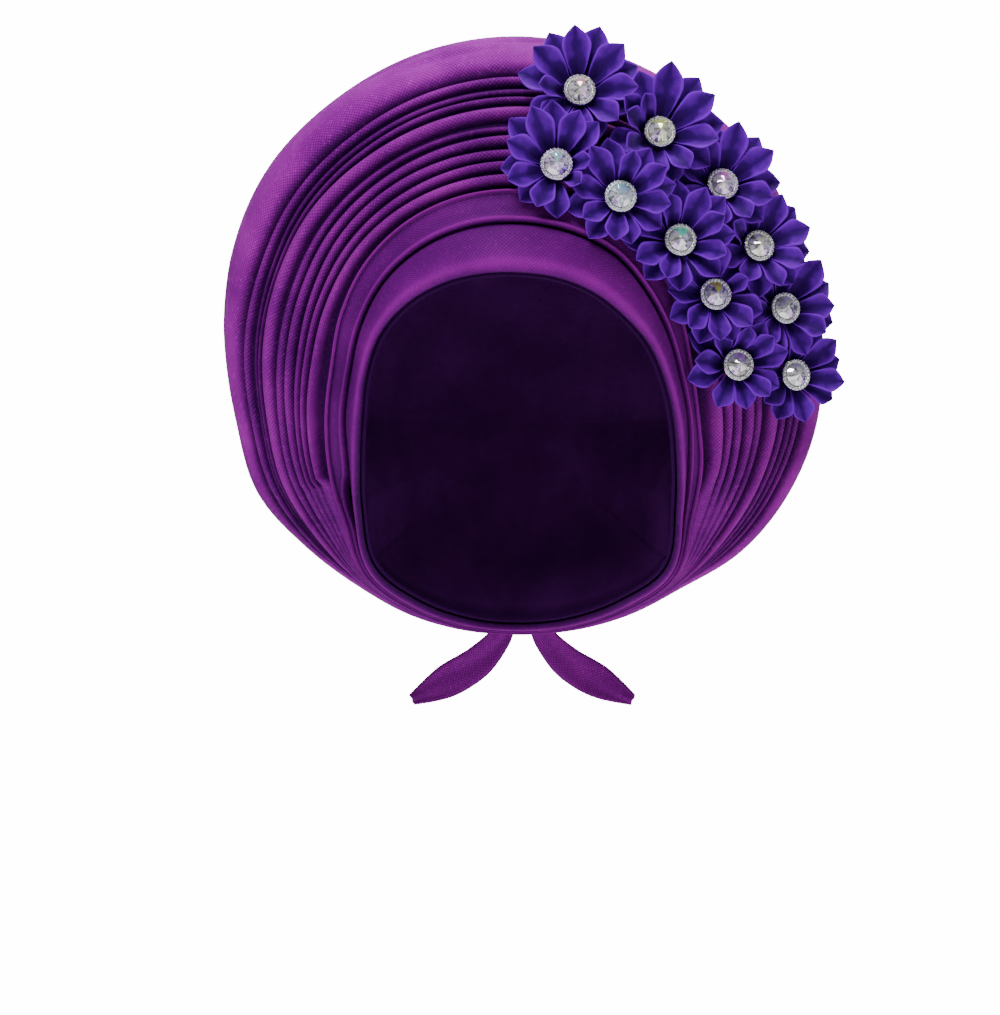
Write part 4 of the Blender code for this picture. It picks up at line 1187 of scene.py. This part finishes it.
def satin_material():
    """Satin ribbon: painted shade in the fold down its middle and at the root, and painted highlight
    along its turned edges and towards its tip.
    """
    material, shader = new_material("violet_satin", SATIN_DYE[1], 0.36, Sheen_Weight=0.03,
                                    Sheen_Roughness=0.35, Specular_IOR_Level=0.12, Anisotropic=0.4)
    shader.inputs["Sheen Tint"].default_value = (*SATIN_DYE[2], 1.0)
    shader.inputs["Specular Tint"].default_value = (0.55, 0.25, 1.0, 1.0)
    tree = material.node_tree
    ribbon = new_node(tree, "ShaderNodeUVMap")
    parts = new_node(tree, "ShaderNodeSeparateXYZ", {0: ribbon.outputs[0]})
    across = math_node(tree, "ABSOLUTE", math_node(tree, "MULTIPLY_ADD", parts.outputs[0], 2.0, -1.0))
    edge = math_node(tree, "POWER", across, 9.0)
    fold = math_node(tree, "POWER", math_node(tree, "SUBTRACT", 1.0, across), 3.0)
    along = new_node(tree, "ShaderNodeMapRange", {0: parts.outputs[1], 1: 0.0, 2: 0.55})
    mottle = use_group(tree, MOTTLE, Patch_Size=0.006, Sparkle_Size=0.0006)
    # Painted shade at the root and down the middle fold, painted highlight towards the tip and along
    # the edges.
    level = math_node(tree, "MULTIPLY_ADD", along.outputs[0], PAINTED_LIGHT_TOWARDS_TIP,
                      math_node(tree, "MULTIPLY", edge, EDGE_PAINTED_HIGHLIGHT))
    level = math_node(tree, "MULTIPLY_ADD", fold, SATIN_FOLD_PAINTED_SHADE, level)
    level = math_node(tree, "MULTIPLY_ADD", mottle.outputs["Patches"], PATCH_LIGHT, level)
    tree.links.new(dye_ramp(tree, level, SATIN_DYE, SATIN_LEVELS), shader.inputs["Base Color"])
    threads = math_node(tree, "SINE",
                        math_node(tree, "MULTIPLY", parts.outputs[0], SATIN_THREADS))
    relief = new_node(tree, "ShaderNodeBump",
                      {"Height": threads, "Distance": 0.00004, "Strength": 0.4})
    tree.links.new(relief.outputs[0], shader.inputs["Normal"])
    return material


seats = flower_frames()
cloth_middle = Vector((0.05, -0.05, -0.04))
placed = [(cloth_middle, 1.0, object_tree(piece)) for piece in (inner_band, pleated_fan, outer_rim)]
for seat in seats.values():
    disc = disc_tree(seat, HUB_RADIUS, HUB_HEIGHT + DISC_GAP, HUB_HEIGHT + CLEAR_ABOVE)
    placed.append((seat["base"], FLOWER_RADIUS * DISC_NEAR, disc))
satin = satin_material()
for number, seat in sorted(seats.items(), key=lambda entry: entry[1]["order"]):
    draw = random.Random(number)
    first = math.radians(seat["turn"])
    step = math.tau / PETAL_COUNT
    petals = []
    for turn, radius, shortest, longest, height, pitch, least, most in PETAL_RINGS:
        for index in range(PETAL_COUNT):
            spread = math.radians(draw.uniform(-PETAL_SPREAD, PETAL_SPREAD))
            way = first + step * (index + turn) + spread
            length = radius * draw.uniform(shortest, longest) * (1 + UPWARD_GROWTH * math.cos(way))
            length = length * seat["size"] - PETAL_ROOT
            lowest = pitch + draw.uniform(least, most)
            rows = place_petal(seat, way, height, length, lowest, draw.uniform(-1, 1), placed)
            if rows:
                petals.append(rows)
    flower = flower_object("ribbon_flower_%02d" % number, petals)
    apply_modifier(flower, "SUBSURF", levels=1, render_levels=1)
    add_wall(flower, RIBBON_WALL)
    finish_piece(flower, "flower_%02d" % number, satin)


# The silver settings
# Each brooch is a shallow silver cup. Its raised rim carries a ring of tiny clear stones, with a
# pair of silver beads in each gap between them, and its floor holds the large crystal.
SETTING_SIDES = 48
SETTING_PROFILE = (
    # radius, height over the flower's hub
    (0.00520, 0.00000),
    (0.00640, 0.00060),
    (0.00660, 0.00120),
    (0.00650, 0.00170),
    (0.00620, 0.00195),
    (0.00530, 0.00195),
    (0.00515, 0.00220),
    (0.00500, 0.00210),
    (0.00450, 0.00090),
)
SETTING_TOP = HUB_HEIGHT + SETTING_HEIGHT
RING_STONES = 24
RING_RADIUS = 0.00575
BEAD_RADIUS = 0.00026
BEAD_OFFSET = 0.00052
BEAD_DEPTH = 0.00030
SILVER = (0.78, 0.78, 0.81)
SILVER_DULL = (0.58, 0.58, 0.62, 1.0)
SILVER_BRIGHT = (0.88, 0.88, 0.90, 1.0)


def round_seat(seat, radius, way, out, middle=(0.0, 0.0)):
    """A point at one way round a middle on the flower, at one height over its base."""
    across = middle[0] + radius * math.cos(way)
    up = middle[1] + radius * math.sin(way)
    return seat["base"] + seat["right"] * across + seat["up"] * up + seat["normal"] * out


def turned_cup(seat):
    """The setting's profile turned round the flower's axis into one closed shape."""
    shape = bmesh.new()
    ways = [math.tau * side / SETTING_SIDES for side in range(SETTING_SIDES)]
    loops = [[shape.verts.new(round_seat(seat, radius, way, HUB_HEIGHT + height)) for way in ways]
             for radius, height in SETTING_PROFILE]
    for lower, upper in zip(loops, loops[1:]):
        for side in range(SETTING_SIDES):
            after = (side + 1) % SETTING_SIDES
            shape.faces.new((lower[side], lower[after], upper[after], upper[side]))
    shape.faces.new(loops[0])
    shape.faces.new(loops[-1])
    bmesh.ops.recalc_face_normals(shape, faces=shape.faces)
    return shape


def silver_material():
    material, shader = new_material("setting_silver", SILVER, 0.22, Metallic=1.0)
    tree = material.node_tree
    mottle = use_group(tree, MOTTLE, Patch_Size=0.002, Sparkle_Size=0.0004)
    rough = new_node(tree, "ShaderNodeMapRange", {0: mottle.outputs["Patches"], 3: 0.14, 4: 0.36})
    tree.links.new(rough.outputs[0], shader.inputs["Roughness"])
    tone = mix_colours(tree, mottle.outputs["Patches"], SILVER_DULL, SILVER_BRIGHT)
    tree.links.new(tone, shader.inputs["Base Color"])
    return material


silver = silver_material()
for number, seat in seats.items():
    shape = turned_cup(seat)
    for index in range(RING_STONES):
        way = math.tau * (index + 0.5) / RING_STONES
        for side in (-1, 1):
            bead = round_seat(seat, RING_RADIUS + side * BEAD_OFFSET, way, SETTING_TOP - BEAD_DEPTH)
            bmesh.ops.create_uvsphere(shape, u_segments=8, v_segments=5, radius=BEAD_RADIUS,
                                      matrix=Matrix.Translation(bead))
    for face in shape.faces:
        face.smooth = True
    setting = shape_object("brooch_setting_%02d" % number, shape)
    finish_piece(setting, "setting_%02d" % number, silver)


# The crystals
# A large round stone is cut to a low point, with kite facets round the point and a row of
# narrow ones at its girdle, and coated with a faint rainbow film. Each facet takes its own tint
# and brightness as a painted reflection: a coloured painted highlight in the facets near its top,
# lilac on one side. The stones of the ring are small clear ones with eight facets and a table,
# their facets given painted reflections too.
CRYSTAL_CUT = {"floor": 0.0056, "radius": 0.0047, "girdle": 0.0011, "height": 0.0036,
               "table": 0.10, "sides": 16}
STONE_CUT = {"floor": SETTING_TOP - 0.00042, "radius": 0.00062, "girdle": 0.0002,
             "height": 0.00062, "table": 0.5, "sides": 8}
# Facets with a coloured painted highlight lie within a spread of a turn, both in radians from the
# flower's up.
TOP_HIGHLIGHT_TURN = 0.1
TOP_HIGHLIGHT_SPREAD = 0.60
# Lilac painted reflections on one side; how bright the top facets' painted highlights and the other
# facets' painted reflections are.
LILAC_REFLECTION_TURN = 2.5
LILAC_REFLECTION_SPREAD = 0.42
LILAC_PAINTED_REFLECTION = (0.58, 0.36, 0.92)
TOP_PAINTED_HIGHLIGHTS = (1.3, 1.7)
FACET_PAINTED_LIGHTS = (0.40, 0.8, 1.2, 1.6, 1.9)
PAINTED_SPARKLE = (0.95, 0.96, 1.0, 1.0)
PAINTED_REFLECTION_TINTS = {
    # flower: the tint of the painted highlight near its top, and of its other facets' painted
    # reflections
    1: ((0.90, 0.38, 0.40), (0.66, 0.62, 0.58)),
    2: ((0.55, 0.80, 0.12), (0.62, 0.66, 0.50)),
    3: ((0.36, 0.60, 0.95), (0.62, 0.50, 0.86)),
    4: ((0.36, 0.68, 0.95), (0.56, 0.72, 0.84)),
    5: ((0.95, 0.22, 0.62), (0.72, 0.55, 0.84)),
    6: ((0.10, 0.85, 0.42), (0.60, 0.64, 0.62)),
    7: ((0.82, 0.76, 0.52), (0.70, 0.68, 0.60)),
    8: ((0.88, 0.80, 0.12), (0.54, 0.46, 0.76)),
    9: ((0.70, 0.78, 0.90), (0.66, 0.62, 0.76)),
    10: ((0.62, 0.34, 0.78), (0.66, 0.66, 0.60)),
    11: ((0.70, 0.72, 0.92), (0.66, 0.66, 0.70)),
}


def crystal_material():
    material, shader = new_material("coated_crystal", (0.7, 0.7, 0.75), 0.06, IOR=1.62,
                                    Coat_Weight=1.0, Coat_Roughness=0.03, Metallic=0.55)
    tree = material.node_tree
    facets = new_node(tree, "ShaderNodeAttribute", attribute_name="facet_painted_reflection",
                      attribute_type="GEOMETRY")
    mottle = use_group(tree, MOTTLE, Patch_Size=0.0022, Sparkle_Size=0.0009)
    # Painted sparkle: small spots of the facets turn white.
    lit = mix_colours(tree, mottle.outputs["Sparkle"], facets.outputs[0], PAINTED_SPARKLE)
    tree.links.new(lit, shader.inputs["Base Color"])
    return material


def cut_stone(shape, seat, middle, floor, radius, girdle, height, table, sides):
    """A faceted stone: belt, kite facets and a small table; returns its faces."""
    rings = (
        # radius, height, turn in facets
        (radius * 0.82, floor, 0.0),
        (radius, floor + girdle * 0.55, 0.5),
        (radius, floor + girdle, 0.5),
        (radius * 0.62, floor + height * 0.66, 0.0),
        (radius * table, floor + height, 0.5),
    )
    loops = [[shape.verts.new(round_seat(seat, ring, math.tau * (side + turn) / sides, out, middle))
              for side in range(sides)] for ring, out, turn in rings]
    made = [shape.faces.new(loops[0][::-1]), shape.faces.new(loops[-1])]
    for level, (lower, upper) in enumerate(zip(loops, loops[1:])):
        for side in range(sides):
            after = (side + 1) % sides
            corners = (lower[side], lower[after], upper[after], upper[side])
            if level == 1:
                facets = [corners]
            elif level == 2:
                facets = [(corners[0], corners[2], corners[3]), corners[:3]]
            else:
                facets = [(corners[0], corners[1], corners[3]), corners[1:]]
            made += [shape.faces.new(facet) for facet in facets]
    bmesh.ops.recalc_face_normals(shape, faces=made)
    return made


coated = crystal_material()
for number, seat in seats.items():
    draw = random.Random(100 + number)
    shape = bmesh.new()
    tint = shape.loops.layers.float_color.new("facet_painted_reflection")
    made = cut_stone(shape, seat, (0.0, 0.0), **CRYSTAL_CUT)
    for index in range(RING_STONES):
        way = math.tau * index / RING_STONES
        middle = (RING_RADIUS * math.cos(way), RING_RADIUS * math.sin(way))
        made += cut_stone(shape, seat, middle, **STONE_CUT)
    # Each facet's colour is a painted reflection: a coloured painted highlight near the top, lilac on
    # one side, and a random brightness on the rest.
    for face in made:
        spot = face.calc_center_median() - seat["base"]
        spot -= seat["normal"] * spot.dot(seat["normal"])
        way = math.atan2(spot.dot(seat["right"]), spot.dot(seat["up"]))
        inside = spot.length < CRYSTAL_CUT["radius"]
        top_highlighted = abs(way - TOP_HIGHLIGHT_TURN) < TOP_HIGHLIGHT_SPREAD and inside
        colour = PAINTED_REFLECTION_TINTS[number][0 if top_highlighted else 1]
        lilac_side = 1 if number % 2 else -1
        if inside and abs(abs(way) - LILAC_REFLECTION_TURN) < LILAC_REFLECTION_SPREAD and way * lilac_side > 0:
            colour = LILAC_PAINTED_REFLECTION
        light = draw.choice(TOP_PAINTED_HIGHLIGHTS if top_highlighted else FACET_PAINTED_LIGHTS)
        for loop in face.loops:
            loop[tint] = (*[min(1.0, part * light) for part in colour], 1.0)
    crystal = shape_object("cut_crystal_%02d" % number, shape)
    finish_piece(crystal, "crystal_%02d" % number, coated)


# The studio
# A pale floor sweeps up into a pale wall, large soft lights stand above and on both sides, and
# the camera looks straight at the face opening from the front.
FLOOR_HEIGHT = -0.42
SWEEP_RADIUS = 0.5
WALL_DEPTH = 1.3
WALL_HEIGHT = 2.0
STAGE_FRONT = -2.2
STAGE_HALF = 2.6
FLOOR_SHARE = 0.4
SWEEP_SHARE = 0.3
PAPER_GLOW = 0.25
PAPER_WHITE = 14.0
AIR_GLOW = 0.12
CAMERA_PLACE = Vector((-0.0101, -1.4, -0.1376))
CAMERA_AIM = Vector((0.0, 0.0, -0.08))
CAMERA_LENS = 118.2
LIGHTS = (
    # name, x, y, z, size, power
    ("key", -0.35, -1.15, 1.15, 0.7, 27),
    ("fill", 1.2, -1.2, 0.2, 1.0, 1.8),
    ("top", 0.1, 0.1, 1.4, 0.8, 20),
)


def white_for_camera(tree, glow, strength):
    """Let a surface look plain white to the camera and light the object with only a soft glow."""
    seen = new_node(tree, "ShaderNodeLightPath").outputs["Is Camera Ray"]
    shown = new_node(tree, "ShaderNodeMapRange", {0: seen, 3: glow, 4: PAPER_WHITE})
    tree.links.new(shown.outputs[0], strength)


def make_stage():
    bpy.ops.object.select_all(action="DESELECT")
    bpy.ops.mesh.primitive_grid_add(x_subdivisions=2, y_subdivisions=40, size=1)
    stage = bpy.context.object
    stage.name = "pale_sweep"
    floor_end = WALL_DEPTH - SWEEP_RADIUS
    for vertex in stage.data.vertices:
        share = vertex.co.y + 0.5
        past_floor = (share - FLOOR_SHARE) / SWEEP_SHARE
        turn = min(max(past_floor, 0.0), 1.0) * math.pi / 2
        depth = floor_end + SWEEP_RADIUS * math.sin(turn)
        height = FLOOR_HEIGHT + SWEEP_RADIUS * (1 - math.cos(turn))
        if past_floor < 0:
            depth = STAGE_FRONT + (floor_end - STAGE_FRONT) * share / FLOOR_SHARE
        elif past_floor > 1:
            height += WALL_HEIGHT * (past_floor - 1)
        vertex.co = (vertex.co.x * 2 * STAGE_HALF, depth, height)
    bpy.ops.object.shade_smooth()
    material, shader = new_material("pale_paper", (0.9, 0.9, 0.9), 0.9)
    shader.inputs["Emission Color"].default_value = (1.0, 1.0, 1.0, 1.0)
    white_for_camera(material.node_tree, PAPER_GLOW, shader.inputs["Emission Strength"])
    stage.data.materials.append(material)
    return stage


stage = make_stage()
for name, across, depth, height, size, power in LIGHTS:
    light = bpy.data.lights.new(name, "AREA")
    light.energy = power
    light.size = size
    lamp = add_object(name, light)
    lamp.location = (across, depth, height)
    lamp.rotation_euler = (CAMERA_AIM - lamp.location).to_track_quat("-Z", "Y").to_euler()
world = bpy.data.worlds.new("studio_air")
world.use_nodes = True
background = world.node_tree.nodes["Background"]
background.inputs[0].default_value = (1.0, 1.0, 1.0, 1.0)
white_for_camera(world.node_tree, AIR_GLOW, background.inputs["Strength"])
bpy.context.scene.world = world
lens = bpy.data.cameras.new("front_camera")
lens.lens = CAMERA_LENS
lens.sensor_fit = "VERTICAL"
lens.sensor_height = 36
camera = add_object("front_camera", lens)
camera.location = CAMERA_PLACE
camera.rotation_euler = (math.radians(90), 0.0, 0.0)
bpy.context.scene.camera = camera
